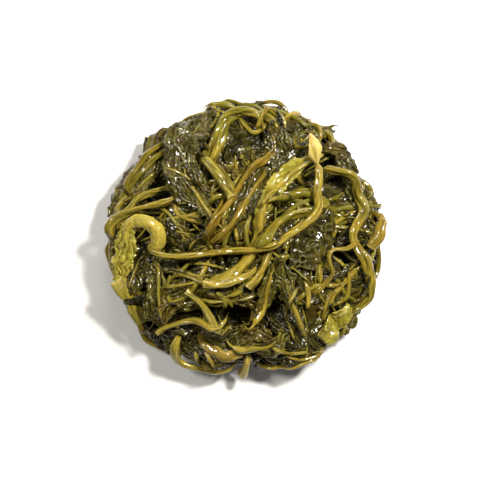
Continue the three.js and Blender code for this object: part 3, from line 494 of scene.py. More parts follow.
rise = tube_math("MULTIPLY", tube_math("ADD", rise, lump), girth)
offset = {0: tube_node("InputNormal"), "Scale": rise}
offset = add_node(stalk_tree, "ShaderNodeVectorMath", offset, operation="SCALE").outputs[0]
tube = tube_node("SetPosition", {"Geometry": tube, "Offset": offset})
grain = {
    "X": tube_math("MULTIPLY", tube_math("COSINE", angle), 2.0),
    "Y": tube_math("MULTIPLY", tube_math("SINE", angle), 2.0),
    "Z": tube_math("MULTIPLY_ADD", length, 1000.0, given["Seed"]),
}
grain = add_node(stalk_tree, "ShaderNodeCombineXYZ", grain).outputs[0]
tube = stored(tube, "grain", grain, "FLOAT_VECTOR")
tube = tube_node("SetShadeSmooth", {"Geometry": tube})
tube = tube_node("RealizeInstances", {"Geometry": tube})
tube = tube_node("SetMaterial", {"Geometry": tube, "Material": given["Material"]})
stalk_tree.links.new(tube, stalk_tree.nodes.new("NodeGroupOutput").inputs[0])

# Cooked stalk flesh: olive to golden, streaked along its fibres, with painted shade in its grooves and
# between its ribs, rusty brown in patches, cream where it is pale or cut, and glassy with oil.
stalk_flesh, given, made = group_with(
    "cooked stalk flesh",
    colours=("Green Colour", "Golden Colour", "Shade Colour", "Rust Colour", "Cream Colour"),
    numbers=("Browning",),
)
stalk_math = partial(worked_out, stalk_flesh)
place = add_node(stalk_flesh, "ShaderNodeTexCoord").outputs["Object"]
fibre = {"Vector": kept_value(stalk_flesh, "grain", vector=True), "Scale": (1.0, 1.0, 0.1)}
fibre = add_node(stalk_flesh, "ShaderNodeMapping", fibre).outputs[0]
fibre = spotted(stalk_flesh, fibre, 1.0, 4)
patch = spotted(stalk_flesh, place, 80, 3)
speck = spotted(stalk_flesh, place, 650, 4)
golden = stalk_math("MULTIPLY_ADD", patch, 2.0, stalk_math("MULTIPLY_ADD", fibre, 1.2, -1.6))
golden = stalk_math("ADD", golden, kept_value(stalk_flesh, "tone"), clamp=True)
colour = mixed_colour(stalk_flesh, golden, given["Green Colour"], given["Golden Colour"])
cream = stalk_math("ADD", stalk_math("MULTIPLY_ADD", fibre, 0.6, -0.3), 1.0)
cream = stalk_math("MULTIPLY", cream, kept_value(stalk_flesh, "pale"), clamp=True)
colour = mixed_colour(stalk_flesh, cream, colour, given["Cream Colour"])
# Darker fibre streaks, and painted shade in the groove and between the ribs.
streaks_and_groove_shading = stalk_math("MULTIPLY_ADD", fibre, -2.6, 1.5)
streaks_and_groove_shading = stalk_math("MULTIPLY_ADD", kept_value(stalk_flesh, "rib"), -0.22, streaks_and_groove_shading)
streaks_and_groove_shading = stalk_math("MULTIPLY_ADD", speck, -0.5, stalk_math("ADD", streaks_and_groove_shading, 0.2), clamp=True)
colour = mixed_colour(stalk_flesh, streaks_and_groove_shading, colour, given["Shade Colour"])
scorched = stretched(stalk_flesh, speck, 0.5, 0.68)
scorched = stalk_math("MULTIPLY", scorched, stretched(stalk_flesh, patch, 0.42, 0.62))
scorched = stalk_math("MULTIPLY", scorched, given["Browning"])
rusty = stalk_math("MULTIPLY", kept_value(stalk_flesh, "rust"), stalk_math("ADD", fibre, 0.3))
scorched = stalk_math("MAXIMUM", scorched, rusty, clamp=True)
colour = mixed_colour(stalk_flesh, scorched, colour, given["Rust Colour"])
stalk_flesh.links.new(colour, made["Color"])
stalk_flesh.links.new(stalk_math("MULTIPLY_ADD", speck, 0.4, -0.04), made["Roughness"])
pitted = stalk_math("MULTIPLY_ADD", spotted(stalk_flesh, place, 1500, 1), 0.4, fibre)
stalk_flesh.links.new(stalk_math("MULTIPLY_ADD", speck, 0.9, pitted), made["Height"])
oil = stalk_math("MULTIPLY_ADD", stretched(stalk_flesh, patch, 0.4, 0.6), 0.6, 0.4)
stalk_flesh.links.new(oil, made["Oil"])

green_stalk = oily_material(
    "olive stalk", stalk_flesh, bump=0.8, coat=1.0, clearness=0.12,
    green_colour=(0.125, 0.116, 0.010),
    golden_colour=(0.290, 0.213, 0.019),
    shade_colour=(0.045, 0.033, 0.003),
    rust_colour=(0.120, 0.056, 0.005),
    cream_colour=(0.450, 0.365, 0.100),
    browning=0.5,
)
pale_stalk = oily_material(
    "pale stalk", stalk_flesh, bump=0.5, coat=1.0, clearness=0.3,
    green_colour=(0.240, 0.210, 0.024),
    golden_colour=(0.420, 0.335, 0.048),
    shade_colour=(0.150, 0.115, 0.015),
    rust_colour=(0.420, 0.190, 0.045),
    cream_colour=(0.500, 0.420, 0.150),
    browning=0.3,
)


def strands(
    name, lines, material, flatness=1.0, ribs=5, rib_depth=0.05, groove=0.25, lumps=0.35, seed=0, sides=18,
    spacing=0.7,
):
    """Stalks, ribs or strings in one piece: tubes along their lines. Each line has its middles, girths and
    upward directions in millimetres, and how golden, pale and rusty it is along its length."""
    counts = [len(line["middles"]) for line in lines]
    starts = np.cumsum([0] + counts)
    edges = [(start + i, start + i + 1) for start, count in zip(starts, counts) for i in range(count - 1)]
    mesh = bpy.data.meshes.new(name)
    mesh.from_pydata((0.001 * np.vstack([line["middles"] for line in lines])).tolist(), edges, [])
    for key, scale in (("girth", 0.001), ("tone", 1), ("pale", 1), ("rust", 1)):
        value = [np.broadcast_to(line.get(key, 0.0), (count,)) for line, count in zip(lines, counts)]
        layer = mesh.attributes.new(key, "FLOAT", "POINT")
        layer.data.foreach_set("value", (scale * np.concatenate(value)).astype(np.float32))
    layer = mesh.attributes.new("upward", "FLOAT_VECTOR", "POINT")
    layer.data.foreach_set("vector", np.vstack([line["upward"] for line in lines]).astype(np.float32).ravel())
    piece = bpy.data.objects.new(name, mesh)
    bpy.context.scene.collection.objects.link(piece)
    modifier = piece.modifiers.new("limp stalk", "NODES")
    modifier.node_group = stalk_tree
    sizes = {
        "Sides": sides, "Spacing": 0.001 * spacing, "Flatness": flatness, "Ribs": float(ribs),
        "Rib Depth": rib_depth, "Groove": groove, "Lumps": lumps, "Seed": float(seed), "Material": material,
    }
    for item in stalk_tree.interface.items_tree:
        if item.in_out == "INPUT" and item.name in sizes:
            modifier[item.identifier] = sizes[item.name]
    piece.data = plain_mesh(piece)
    piece.data.name = name
    return piece


def reached_along(middles):
    """How far along a line each of its points lies."""
    return np.concatenate([[0], np.cumsum(norm(np.diff(middles, axis=0), axis=-1))])


def grown(girths, reached, seed, cut_start=False, cut_end=False):
    """Girths that swell and shrink unevenly along a stalk, and close bluntly at an end that isn't cut."""
    girths = girths * (1 + 0.2 * noise(reached / 9, 0, 0, seed) + 0.07 * noise(reached / 2.5, 0, 0, seed + 1))
    for cut, away in ((cut_start, reached), (cut_end, reached[-1] - reached)):
        if not cut:
            girths = girths * np.sqrt(np.clip(0.12 + away / (1.6 * girths), 0, 1))
    return girths


def twisted(middles, upward, seed):
    """Upward directions that roll a little to either side along a strand."""
    roll = 0.8 * noise(reached_along(middles) / 11, 0, 0, seed)[:, None]
    return upward * np.cos(roll) + np.cross(unit(np.gradient(middles, axis=0)), upward) * np.sin(roll)


def dived(line, at_start, at_end, depth=7):
    """A line that goes on past an end and down between the leaves there."""
    middles, girth, upward = line["middles"], line["girth"], line["upward"]
    turns = np.radians([12, 28, 45, 60, 70, 75, 78])
    for wanted, end in ((at_start, 0), (at_end, -1)):
        if not wanted:
            continue
        along = unit(middles[end] - middles[3 if end == 0 else -4])
        down, place, added = -unit(middles[end]), middles[end], []
        for turn in turns:
            place = place + depth / len(turns) * 1.5 * unit(along * np.cos(turn) + down * np.sin(turn))
            added.append([*place[:2], max(place[2], 1.5)])
        thinner = girth[end] * np.linspace(1.0, 0.7, len(turns))
        more = (np.array(added), thinner, np.repeat(upward[end][None], len(turns), axis=0))
        if end == 0:
            more = [part[::-1] for part in more]
        pairs = zip(more, (middles, girth, upward))
        joined = [np.concatenate([new, old] if end == 0 else [old, new]) for new, old in pairs]
        middles, girth, upward = joined
    return {**line, "middles": middles, "girth": girth, "upward": upward}


def stalk_line(name):
    """The middles, half widths, flatness and upward directions of a packed stalk, close together."""
    rings = rings_of(name)
    half = rings.shape[1] // 2
    middles = (rings[:, 0] + rings[:, half]) / 2 * 0.5 + rings.mean(axis=1) * 0.5
    widths = norm(rings[:, 0] - rings[:, half], axis=-1) / 2
    heights = norm(rings[:, half // 2] - rings[:, half + half // 2], axis=-1) / 2
    left = unit(rings[:, half] - rings[:, 0])
    flatness = float(np.median(heights / widths))
    count = 8 * len(rings)
    middles, widths, left = drawn_out(middles, count), drawn_out(widths, count), drawn_out(left, count)
    upward = unit(np.cross(np.gradient(middles, axis=0), left))
    return {"middles": middles, "girth": widths, "upward": upward}, flatness, reached_along(middles)


# Each stalk with how golden it is from 0 to 1, how pale, how rusty, and whether its start is cut.
STALKS = {
    "side_stalk_right": (0.1, 0.0, 0.0, False), "side_stalk_left": (0.2, 0.0, 0.1, False),
    "side_stalk_front": (0.9, 0.3, 0.1, True), "stalk_right_rim_cut": (0.5, 0.1, 0.5, True),
    "stalk_left_flat": (0.1, 0.1, 0.1, True), "stalk_bottom_left": (0.8, 0.1, 0.0, False),
    "stalk_bottom_cut": (0.9, 0.35, 0.5, True), "stalk_rim_upper": (0.3, 0.0, 0.1, False),
    "stalk_rim_outer": (0.2, 0.0, 0.2, False), "stalk_left_upper": (0.4, 0.1, 0.0, False),
    "stalk_left_lower": (0.4, 0.1, 0.1, False), "stalk_top_outer": (0.3, 0.0, 0.0, False),
    "stalk_top_inner": (0.3, 0.0, 0.0, False), "stalk_top_loop": (0.5, 0.0, 0.3, False),
    "stalk_lower_cut": (0.8, 0.3, 0.15, True), "stalk_orange_cut": (0.9, 0.1, 0.2, True),
    "stalk_lower_left": (0.4, 0.1, 0.0, True), "stalk_bottom_inner": (0.6, 0.1, 0.1, True),
    "stalk_curly": (0.6, 0.0, 0.3, False), "stalk_tail": (0.4, 0.0, 0.5, False),
    "stalk_brown": (0.7, 0.0, 0.6, False), "stalk_pale_cut": (0.4, 0.1, 0.0, True),
    "stalk_turned_back": (0.3, 0.0, 0.1, False),
}
DIES_OPEN = {"stalk_curly", "side_stalk_right", "side_stalk_left", "side_stalk_front", "stalk_left_flat"}
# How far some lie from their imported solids, in millimetres, and how much they have swollen.
MOVED = {
    "stalk_lower_cut": ((0, 0, 4.0), 1.25), "stalk_orange_cut": ((0, 0, 1.0), 1.25),
    "stalk_left_flat": ((0, 0, 0), 1.15), "stalk_pale_cut": ((3.5, -4.2, 1.0), 1.45),
    "stalk_brown": ((0, 0, 0.8), 1.4),
    "stalk_left_upper": ((0, 0, 0.5), 1.25), "stalk_left_lower": ((0, 0, 0.5), 1.3),
    "stalk_top_outer": ((0, 0, 1.3), 1.2), "stalk_top_inner": ((0, 0, 1.3), 1.25),
    "stalk_rim_outer": ((0, 0, 0), 0.8), "stalk_rim_upper": ((0, 0, 0), 0.8),
    "stalk_bottom_cut": ((0, -1.0, 5.0), 1.1), "stalk_bottom_left": ((-1, -1.0, 5.0), 1.1),
    "side_stalk_front": ((1.0, -1.5, 5.0), 1.3), "stalk_lower_left": ((0, 0, 0.5), 1.15),
}
GROOVED = {
    "stalk_brown", "stalk_top_outer", "stalk_top_inner", "stalk_turned_back", "stalk_lower_cut",
    "stalk_left_flat",
}
SIDE_RADIUS = 67.5
for number, (node, (tone, pale, rust, cut)) in enumerate(STALKS.items()):
    line, flatness, reached = stalk_line(node)
    move, swelling = MOVED.get(node, ((0, 0, 0), 1.0))
    on_side = node.startswith("side")
    # A stalk on a side moves at its start only.
    share = np.interp(reached, [0, 12, 20], [1, 1, 0])[:, None] if on_side else 1
    line["middles"] = line["middles"] + np.array(move) * share
    if node == "stalk_left_flat":
        # It leans straight and flat against the others.
        line["middles"] = np.linspace((-63.5, -20.5, 26), (-51, -42.5, 20.5), len(reached))
        line["upward"] = np.tile(unit(np.array([-0.5, -0.35, 0.8])), (len(reached), 1))
    if on_side and not cut:
        line["middles"][:, :2] *= np.minimum(1, SIDE_RADIUS / np.hypot(*line["middles"].T[:2]))[:, None]
    shut = cut or not on_side
    line["girth"] = grown(swelling * line["girth"], reached, 20 + number, cut_start=shut, cut_end=shut)
    line["upward"] = twisted(line["middles"], line["upward"], 40 + number)
    line = dived(line, not cut and not on_side, node not in DIES_OPEN)
    from_end = norm(line["middles"] - line["middles"][0], axis=-1)
    end = np.exp(-from_end / 1.2) if cut else 0
    line.update(tone=tone, pale=np.maximum(pale, end), rust=np.maximum(rust, 0.3 * end))
    piece = strands(
        f"limp_{node}", [line], green_stalk, 0.72 * flatness, ribs=4 + number % 3, seed=number,
        groove=0.4 if node in GROOVED else 0.2, lumps=0.3,
    )
    finished(piece, green_stalk, slot_of[node], node)

# The long winding stalk on top: a pale club with a rust-coloured cut end, a tight neck with a node,
# and then a long, thin golden stalk that winds right across the mound.
line, _, reached = stalk_line("stalk_long_winding")
neck = np.searchsorted(reached, 16.5)
line["middles"][:neck] = np.linspace((33.4, 50.3, 31.5), line["middles"][neck], neck, endpoint=False)
reached = reached_along(line["middles"])
line["middles"][:, 0] -= np.interp(reached, [0, 8, 14, 28, 42], [0.8, 1.4, 2.6, 2, 0])
neck = reached[neck]
girth = np.interp(
    reached, [0, 0.4, 1.2, 3, 5.5, 8.5, 11, neck, neck + 0.1, neck + 2.5, 30, 45, reached[-1]],
    [1.6, 2.6, 3.2, 4.0, 4.5, 4.1, 3.0, 1.5, 1.8, 2.1, 2.0, 2.3, 1.5],
)
line["tone"] = np.interp(reached, [0, 60, 95, reached[-1]], [0.9, 0.9, 0.7, 0.3])
line["pale"] = np.interp(reached, [0, neck, neck + 1, 30, reached[-1]], [0.6, 0.5, 0.3, 0.1, 0.05])
line["rust"] = np.interp(reached, [0, 2, 5, 60, reached[-1]], [1.3, 0.9, 0.1, 0.15, 0.1])
for word, part, material in (
    ("club", reached < neck + 0.5, pale_stalk), ("stalk", reached > neck - 0.5, green_stalk),
):
    cut = {key: value[part] for key, value in line.items()}
    cut["girth"] = grown(girth[part], reached[part] - reached[part][0], 7, cut_start=word == "club")
    piece = strands(
        f"long_winding_{word}", [cut], material, 0.92, ribs=6, groove=0.15, seed=77, sides=22, spacing=0.6,
    )
    finished(piece, material, "stalk", *(["stalk_long_winding"] if word == "stalk" else []))


def leaf_sheet(name):
    """The middle surface of a packed blade, from its right edge to its left edge."""
    rings = rings_of(name)
    half = rings.shape[1] // 2
    under = np.concatenate([rings[:, :1], rings[:, : half - 1 : -1]], axis=1)
    return (rings[:, : half + 1] + under) / 2


def line_over(middles, out, girth, rise, seed, **looks):
    """A line that runs a little above a row of points, for a midrib or a string."""
    middles = drawn_out(middles, 4 * len(middles)) if len(middles) < 40 else middles
    out = drawn_out(out, len(middles))
    reached = reached_along(middles)
    girths = np.interp(reached / reached[-1], np.linspace(0, 1, len(girth)), girth)
    return {"middles": middles + rise * out, "girth": grown(girths, reached, seed), "upward": out, **looks}


def outward_of(sheet):
    return unit(np.cross(np.gradient(sheet, axis=0), np.gradient(sheet, axis=1)))


# The wide pale curl at the left: a juicy strip of young stalk, gutter-shaped and bent right round,
# that spreads out into a soft frilled leaf.
CURL = np.array([
    (-46.5, -6.5, 32.5), (-43.4, -4.0, 34.0), (-42.3, 0.0, 35.5), (-43.3, 4.2, 37.0), (-46.0, 7.4, 38.0),
    (-50.0, 8.9, 38.0), (-54.0, 8.8, 37.0), (-57.4, 6.6, 36.0), (-59.0, 2.6, 34.5), (-59.2, -2.5, 32.0),
    (-60.0, -7.5, 29.5), (-61.0, -12.5, 27.5), (-62.0, -17.0, 26.0), (-64.5, -21.5, 23.0),
])
for word, bends, widths, arch, thickness, folding in (
    ("strip", CURL[:10], (1.9, 3.0, 3.4, 3.2, 2.8, 2.6, 2.6, 2.5, 1.6, 0.5), 1.9, 1.3,
     dict(fold_width=6, fold_depth=0.2, pucker=0.15, wrinkle=0.05, ragged=0.1, gather=0.2)),
    ("leaf", CURL[7:], (2.4, 4.2, 5.4, 5.8, 5.6, 4.4, 2.2), 1.4, 0.5,
     dict(fold_width=2.1, fold_depth=1.2, lean=0.7, pucker=0.3, wrinkle=0.12, ragged=0.9, gather=0.7)),
):
    rows, columns = 110, 41
    middle = drawn_out(bends, rows)
    across = unit(np.cross((0, 0, 1), np.gradient(middle, axis=0)))[:, None]
    side = np.linspace(-1, 1, columns)[None, :, None]
    sheet = middle[:, None] + across * side * drawn_out(np.array(widths), rows)[:, None, None]
    sheet = sheet + np.array((0, 0, arch)) * (1 - side**2)
    strip = word == "strip"
    grid = (*wilted(sheet, 800, **folding), 0.3 if strip else 0.7)
    piece = skin(f"pale_curl_{word}", [grid], thickness=thickness)
    material = pale_stalk if strip else pale_leaf
    finished(piece, material, "stalk_pale", *(["stalk_pale_curl"] if strip else []))

# The wilted leaves: soft blades gathered into folds, with frilled margins and a juicy midrib.
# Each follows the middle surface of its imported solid.
LEAVES = {
    # name: how olive it is, the share of bare stalk, the stalk's radius
    "side_leaf_right": (0.1, 0, 1.0), "side_leaf_back": (0.1, 0, 1.0), "side_leaf_left": (0.1, 0, 1.0),
    "side_leaf_front": (0.1, 0, 1.0), "leaf_top_right": (0.1, 0, 1.0), "leaf_right_rim": (0.2, 0, 0.9),
    "leaf_left": (0.1, 0, 0.9), "leaf_left_centre": (0.3, 0, 0.9), "leaf_centre": (0.2, 0, 0.8),
    "leaf_lower_centre": (0.1, 0, 1.0), "leaf_lower_right": (0.1, 0, 1.0), "leaf_right": (0.1, 0, 1.0),
    "leaf_bottom_right": (0.4, 0.3, 1.3), "leaf_left_rim": (0.5, 0.2, 2.0), "leaf_bottom_long": (0.2, 0, 1.0),
    "leaf_bottom_short": (0.5, 0.3, 1.9), "leaf_left_crinkled": (0.7, 0, 1.2),
    "leaf_blistered": (0.0, 0, 0.8), "leaf_small_right": (0.2, 0, 0.9), "leaf_top_left": (0.2, 0.15, 1.8),
    "leaf_small_top": (0.9, 0, 1.3), "leaf_right_leafy_stalk": (0.3, 0.68, 2.4),
    "leaf_winged_stalk": (1.1, 0.15, 2.4),
    "leaf_lower_middle": (0.3, 0.3, 1.6), "leaf_long_arch": (0.1, 0.25, 2.7),
    "leaf_winged_arch": (0.8, 0.55, 3.0),
    "leaf_curled": (0.2, 0, 0.9), "leaf_pale_tip": (0.5, 0, 1.2),
}
FOLDING = {
    "leaf_blistered": dict(fold_width=5, fold_depth=0.5, pucker=1.2),
    "leaf_pale_tip": dict(fold_width=5, fold_depth=1.0, pucker=0.5, wrinkle=0.05, ragged=0.8),
    "leaf_winged_arch": dict(fold_width=4, fold_depth=0.6, pucker=0.2, wrinkle=0.05, ragged=0.6),
    "leaf_winged_stalk": dict(fold_width=4, fold_depth=0.7, pucker=0.2, wrinkle=0.1, ragged=0.7, gather=0.4),
}
for number, (node, (tone, bare, thick)) in enumerate(LEAVES.items()):
    lattice = leaf_sheet(node)
    if node == "leaf_winged_arch":
        # Its lower end goes under the pale cut stalk.
        lattice[:, :, 2] -= np.interp(np.arange(len(lattice)), [0, 2, 4], [6.0, 3.5, 0.0])[:, None]
    sheet = drawn_sheet(lattice, 0.5)
    start = round(len(sheet) * max(bare - 0.1, 0))
    share = np.linspace(0, 1, len(sheet))
    # A blade narrows to its stalk at its base and to a point at its end.
    slim = np.interp(share, [0, bare, bare + 0.2, 0.85, 1], [0.4, 0.4 if bare == 0 else 0.8, 1, 0.95, 0.35])
    middle = sheet[:, sheet.shape[1] // 2][:, None]
    sheet = middle + (sheet - middle) * slim[:, None, None]
    if node == "leaf_pale_tip":
        lift = 0.8 + 3 * np.abs(np.sin(2 * np.pi * share))[:, None]
    elif node == "leaf_left_rim":
        # Its outer side stands up and out.
        right, left = (np.hypot(*lattice[3, edge, :2]) for edge in (0, -1))
        side = np.linspace(-1, 1, sheet.shape[1]) * np.sign(left - right)
        lift = (2.0 + 3.0 * side)[None]
    else:
        lift = np.array([[0.5]])
    sheet = sheet + outward_of(sheet) * lift[..., None]
    folded, crease, grain = wilted(sheet[start:], 300 + 10 * number, **FOLDING.get(node, {}))
    pale = node in ("leaf_pale_tip", "leaf_winged_arch")
    piece = skin(f"wilted_{node}", [(folded, crease, grain, tone)], thickness=0.5)
    finished(piece, pale_leaf if pale else dark_leaf, slot_of[node], node)
    half = lattice.shape[1] // 2
    out = outward_of(lattice)[:, half]
    bends = [0, bare, bare + 0.2, bare + 0.35, 1]
    girth = thick * np.interp(np.linspace(0, 1, 13), bends, [1, 1, 0.7, 0.5, 0.25])
    looks = dict(
        tone=0.3 + 0.6 * tone, pale=0.4 if node == "leaf_pale_tip" else 0.05,
        rust=0.5 if node == "leaf_long_arch" else 0.1,
    )
    rise = 0.25 * thick if bare else 0.3
    rib = line_over(lattice[:, half], out, girth, rise, 500 + number, **looks)
    rib["upward"] = twisted(rib["middles"], rib["upward"], 560 + number)
    rib = dived(rib, bare > 0, False)
    piece = strands(
        f"midrib_{node}", [rib], green_stalk, 0.8, ribs=4, rib_depth=0.08, groove=0.4, seed=number + 40,
        sides=16,
    )
    finished(piece, green_stalk, "stalk")

# The torn and crumpled bits of leaf between the strands: short blades that broke off in the pan and
# lie pressed over each other all over the mound, down to the table.
random = np.random.default_rng(19)
HEART = np.array([0.27, 0.13, 0.0])
MOUND_RADIUS = 62.0
FAR_OUT = 150
UNDER_ALL = [name for name in frame["nodes"] if name.startswith(("inner_bundle", "side_leaf"))]
LOW_LEAVES = [
    "leaf_top_right", "leaf_right_rim", "leaf_left", "leaf_left_centre", "leaf_centre",
    "leaf_lower_centre", "leaf_lower_right", "leaf_right", "leaf_bottom_right",
]


def shell_of(names):
    """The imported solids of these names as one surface, in millimetres, to lay things on."""
    points, triangles = [], []
    for name in names:
        mesh = frame["nodes"][name].data
        start = len(points)
        points += [1000 * corner.co for corner in mesh.vertices]
        triangles += [tuple(start + corner for corner in face.vertices) for face in mesh.polygons]
    return BVHTree.FromPolygons(points, triangles)


def laid(shell, points):
    """Points moved in towards the heart of the mound until they lie on a surface."""
    flat = points.reshape(-1, 3)
    ways = unit(flat - HEART)
    ways[:, 2] = np.maximum(ways[:, 2], 0.03)
    ways = unit(ways)
    reached, last = np.empty(len(flat)), MOUND_RADIUS
    for i, way in enumerate(ways):
        hit = shell.ray_cast(Vector(HEART + FAR_OUT * way), Vector(-way), 140)
        last = FAR_OUT - hit[3] if hit[0] else min(last, MOUND_RADIUS)
        reached[i] = last
    return (HEART + ways * reached[:, None]).reshape(points.shape)


def wandering(shell, start, heading, step, count, bend):
    """A line of points that wanders over a surface, more or less the way that the strands round it run, with
    the outward and sideways directions along it."""
    points, place, turn = [], laid(shell, np.array([start]))[0], 0.0
    for _ in range(count):
        points.append(place)
        out = unit(place - HEART)
        angle = 0.8 + 1.9 * float(noise(place[0] / 30, place[1] / 30, place[2] / 30, 5))
        flow = np.array([math.cos(angle), math.sin(angle), 0.0])
        heading = unit(heading + 0.3 * flow * np.sign(flow @ heading))
        heading = unit(heading - out * (heading @ out))
        turn = 0.7 * turn + bend * random.normal()
        heading = unit(heading * math.cos(turn) + np.cross(out, heading) * math.sin(turn))
        place = laid(shell, (place + step * heading)[None])[0]
    points = np.array(points)
    along = unit(np.gradient(points, axis=0))
    out = unit(points - HEART)
    return points, out, unit(np.cross(out, along))


def evened(lattice, rounds):
    """A lattice of points smoothed along its rows and columns."""
    for _ in range(rounds):
        padded = np.pad(lattice, ((1, 1), (1, 1), (0, 0)), mode="edge")
        beside = padded[2:, 1:-1] + padded[:-2, 1:-1] + padded[1:-1, 2:] + padded[1:-1, :-2]
        lattice = 0.5 * lattice + 0.125 * beside
    return lattice


def start_place(low_share):
    """A place for the start of a bit of leaf or a string, some of them low on the sides."""
    azimuth = random.uniform(0, 2 * math.pi)
    if random.uniform() < low_share:
        return HEART + np.array([70 * math.cos(azimuth), 70 * math.sin(azimuth), random.uniform(4, 32)])
    radius = 68 * math.sqrt(random.uniform())
    return HEART + np.array([radius * math.cos(azimuth), radius * math.sin(azimuth), 60 - 0.5 * radius])


def room_over(shell, points):
    """How far it is outwards from each point to the surface over it, at most the widest gap that counts."""
    room, widest, skipped = [], 9, 0.2
    for place, way in zip(points.reshape(-1, 3), unit(points.reshape(-1, 3) - HEART)):
        hit = shell.ray_cast(Vector(place + skipped * way), Vector(way), widest)
        room.append(skipped + hit[3] if hit[0] else widest)
    return np.array(room).reshape(points.shape[:-1])


def crumpled_bit(shell, over, start, heading, half, count, rise, arch, seed):
    """A bit of leaf on a shell, and under what lies over it: its lattice, outward ways and crumpled sheet."""
    points, out, left = wandering(shell, start, heading, 3.2, count, 0.22)
    outline = np.sin(np.pi * np.linspace(0.14, 0.94, count) ** 0.8) ** 0.7
    offsets = np.linspace(-1, 1, 5)
    lattice = points[:, None] + left[:, None] * offsets[None, :, None] * half * outline[:, None, None]
    lattice = evened(laid(shell, lattice), 2)
    height = (rise + arch * (1 - offsets**2))[None] * np.ones((count, 1))
    if over:
        # It keeps clear of what lies over it, and sinks between the bundles where it has to.
        height = np.minimum(height, np.maximum(room_over(over, lattice) - 2.2, -2.5))
    lattice = evened(lattice + out[:, None] * height[..., None], 1)
    sheet = drawn_sheet(lattice, 0.8)
    folded, crease, grain = wilted(sheet, seed, fold_width=random.uniform(1.6, 3.2), ragged=1.0)
    folded[..., 2] = np.maximum(folded[..., 2], 0.3)
    tone = random.choice([-0.3, 0.0, 0.35, 0.9], p=[0.3, 0.3, 0.25, 0.15])
    return lattice, out, (folded, crease, grain, tone)


lying_on = shell_of(UNDER_ALL + LOW_LEAVES)
lying_over = shell_of([name for name in frame["nodes"] if name not in UNDER_ALL + LOW_LEAVES])
bits, bit_ribs = [], []
for number in range(150):
    half, count = 1.2 + 2.8 * random.uniform() ** 1.5, int(random.integers(8, 20))
    lattice, out, bit = crumpled_bit(
        lying_on, lying_over, start_place(0.3), random.normal(size=3), half, count,
        random.uniform(-1.0, 2.0), random.uniform(-0.8, 2.0), 1000 + 10 * number,
    )
    bits.append(bit)
    if number % 3 == 0:
        girth = np.array([1.0, 0.9, 0.7, 0.5, 0.4]) * random.uniform(0.5, 0.9)
        looks = dict(tone=random.uniform(0.0, 0.6), pale=0.05, rust=random.uniform(0, 0.3))
        bit_ribs.append(line_over(lattice[:, 2], out, girth, 0.4, 900 + number, **looks))

# Some bits lie over the ends of the longer stalks, where they weren't cut.
LONG_STALK = 40
everything = shell_of(list(frame["nodes"]))
for number, (node, (_, _, _, cut)) in enumerate(STALKS.items()):
    line, _, reached = stalk_line(node)
    if reached[-1] < LONG_STALK:
        continue
    for end in ([-1] if cut else [0, -1]):
        tip, along = line["middles"][end], unit(np.gradient(line["middles"], axis=0)[end])
        out = unit(tip - HEART)
        heading = unit(np.cross(out, along) + 0.7 * random.normal() * along)
        start = tip - 9 * heading + 0.6 * along * (1 if end else -1)
        half, seed = random.uniform(2.5, 4), 4000 + 20 * number + end
        bits.append(crumpled_bit(everything, None, start, heading, half, 7, 0.1, 0.5, seed)[2])
# Three more close a gap at the back.
for number, place in enumerate([(20, 62, 14), (27, 59, 12), (23, 57, 18)]):
    heading, seed = np.array([1.0, -0.4, 0.0]), 5000 + 20 * number
    bits.append(crumpled_bit(everything, None, place - 9 * heading, heading, 4.5, 8, 0.5, 0.8, seed)[2])
for part in range(4):
    # Their flesh is a darker copy of the leaf flesh: painted shade between the strands.
    piece = skin(f"torn_leaves_{part + 1}", bits[part::4], thickness=0.45)
    finished(piece, torn_leaf, "leaf_dark")
piece = strands("torn_leaf_ribs", bit_ribs, green_stalk, 0.8, ribs=3, seed=200, sides=9, spacing=0.9)
finished(piece, green_stalk, "stalk")

# The strings: thin side stalks, torn fibres and flower stems, soft and oily as the stalks are. They
# wind over and under the leaves, and only the leaves hold them.
strings = []
for number in range(85):
    count = int(random.integers(8, 22))
    width = random.choice([0.35, 0.6, 0.95, 1.4], p=[0.1, 0.35, 0.35, 0.2])
    points, out, _ = wandering(lying_on, start_place(0.3), random.normal(size=3), 2.6, count, 0.22)
    # A string rises over some leaves and goes under others, but not over the larger ones.
    over = random.uniform(0.4, 1.8) + 1.5 * noise(np.arange(count) / 5, 0, 0, 2000 + number)
    over = np.minimum(over, np.maximum(room_over(lying_over, points) - width - 0.5, -2.5))
    points = evened((points + out * over[:, None])[:, None], 2)[:, 0]
    points[:, 2] = np.maximum(points[:, 2], 1.2)
    looks = dict(
        tone=random.uniform(-0.3, 0.6), pale=random.choice([0, 0, 0.1]), rust=random.choice([0, 0.1, 0.3]),
    )
    strings.append(line_over(points, out, width * np.array([1.1, 1, 0.9, 0.7]), 0.0, 1500 + number, **looks))

for number in range(48):
    count, width = int(random.integers(9, 20)), random.uniform(1.0, 1.8)
    points, out, _ = wandering(lying_on, start_place(0.2), random.normal(size=3), 2.6, count, 0.16)
    over = random.uniform(2.0, 3.2) + 1.2 * noise(np.arange(count) / 5, 0, 0, 2500 + number)
    over = np.minimum(over, np.maximum(room_over(lying_over, points) - width - 0.4, -2.0))
    points = evened((points + out * over[:, None])[:, None], 3)[:, 0]
    points[:, 2] = np.maximum(points[:, 2], 2.0)
    if norm(points[-1] - points[0]) < 1.5 * count:
        continue
    looks = dict(
        tone=random.uniform(-0.4, 0.8), pale=random.choice([0, 0, 0.1]), rust=random.choice([0, 0.1, 0.4]),
    )
    line = line_over(points, out, width * np.array([1.0, 1.1, 1, 0.9]), 0.0, 1700 + number, **looks)
    line["upward"] = twisted(line["middles"], line["upward"], 2600 + number)
    strings.append(dived(line, True, True, depth=5))

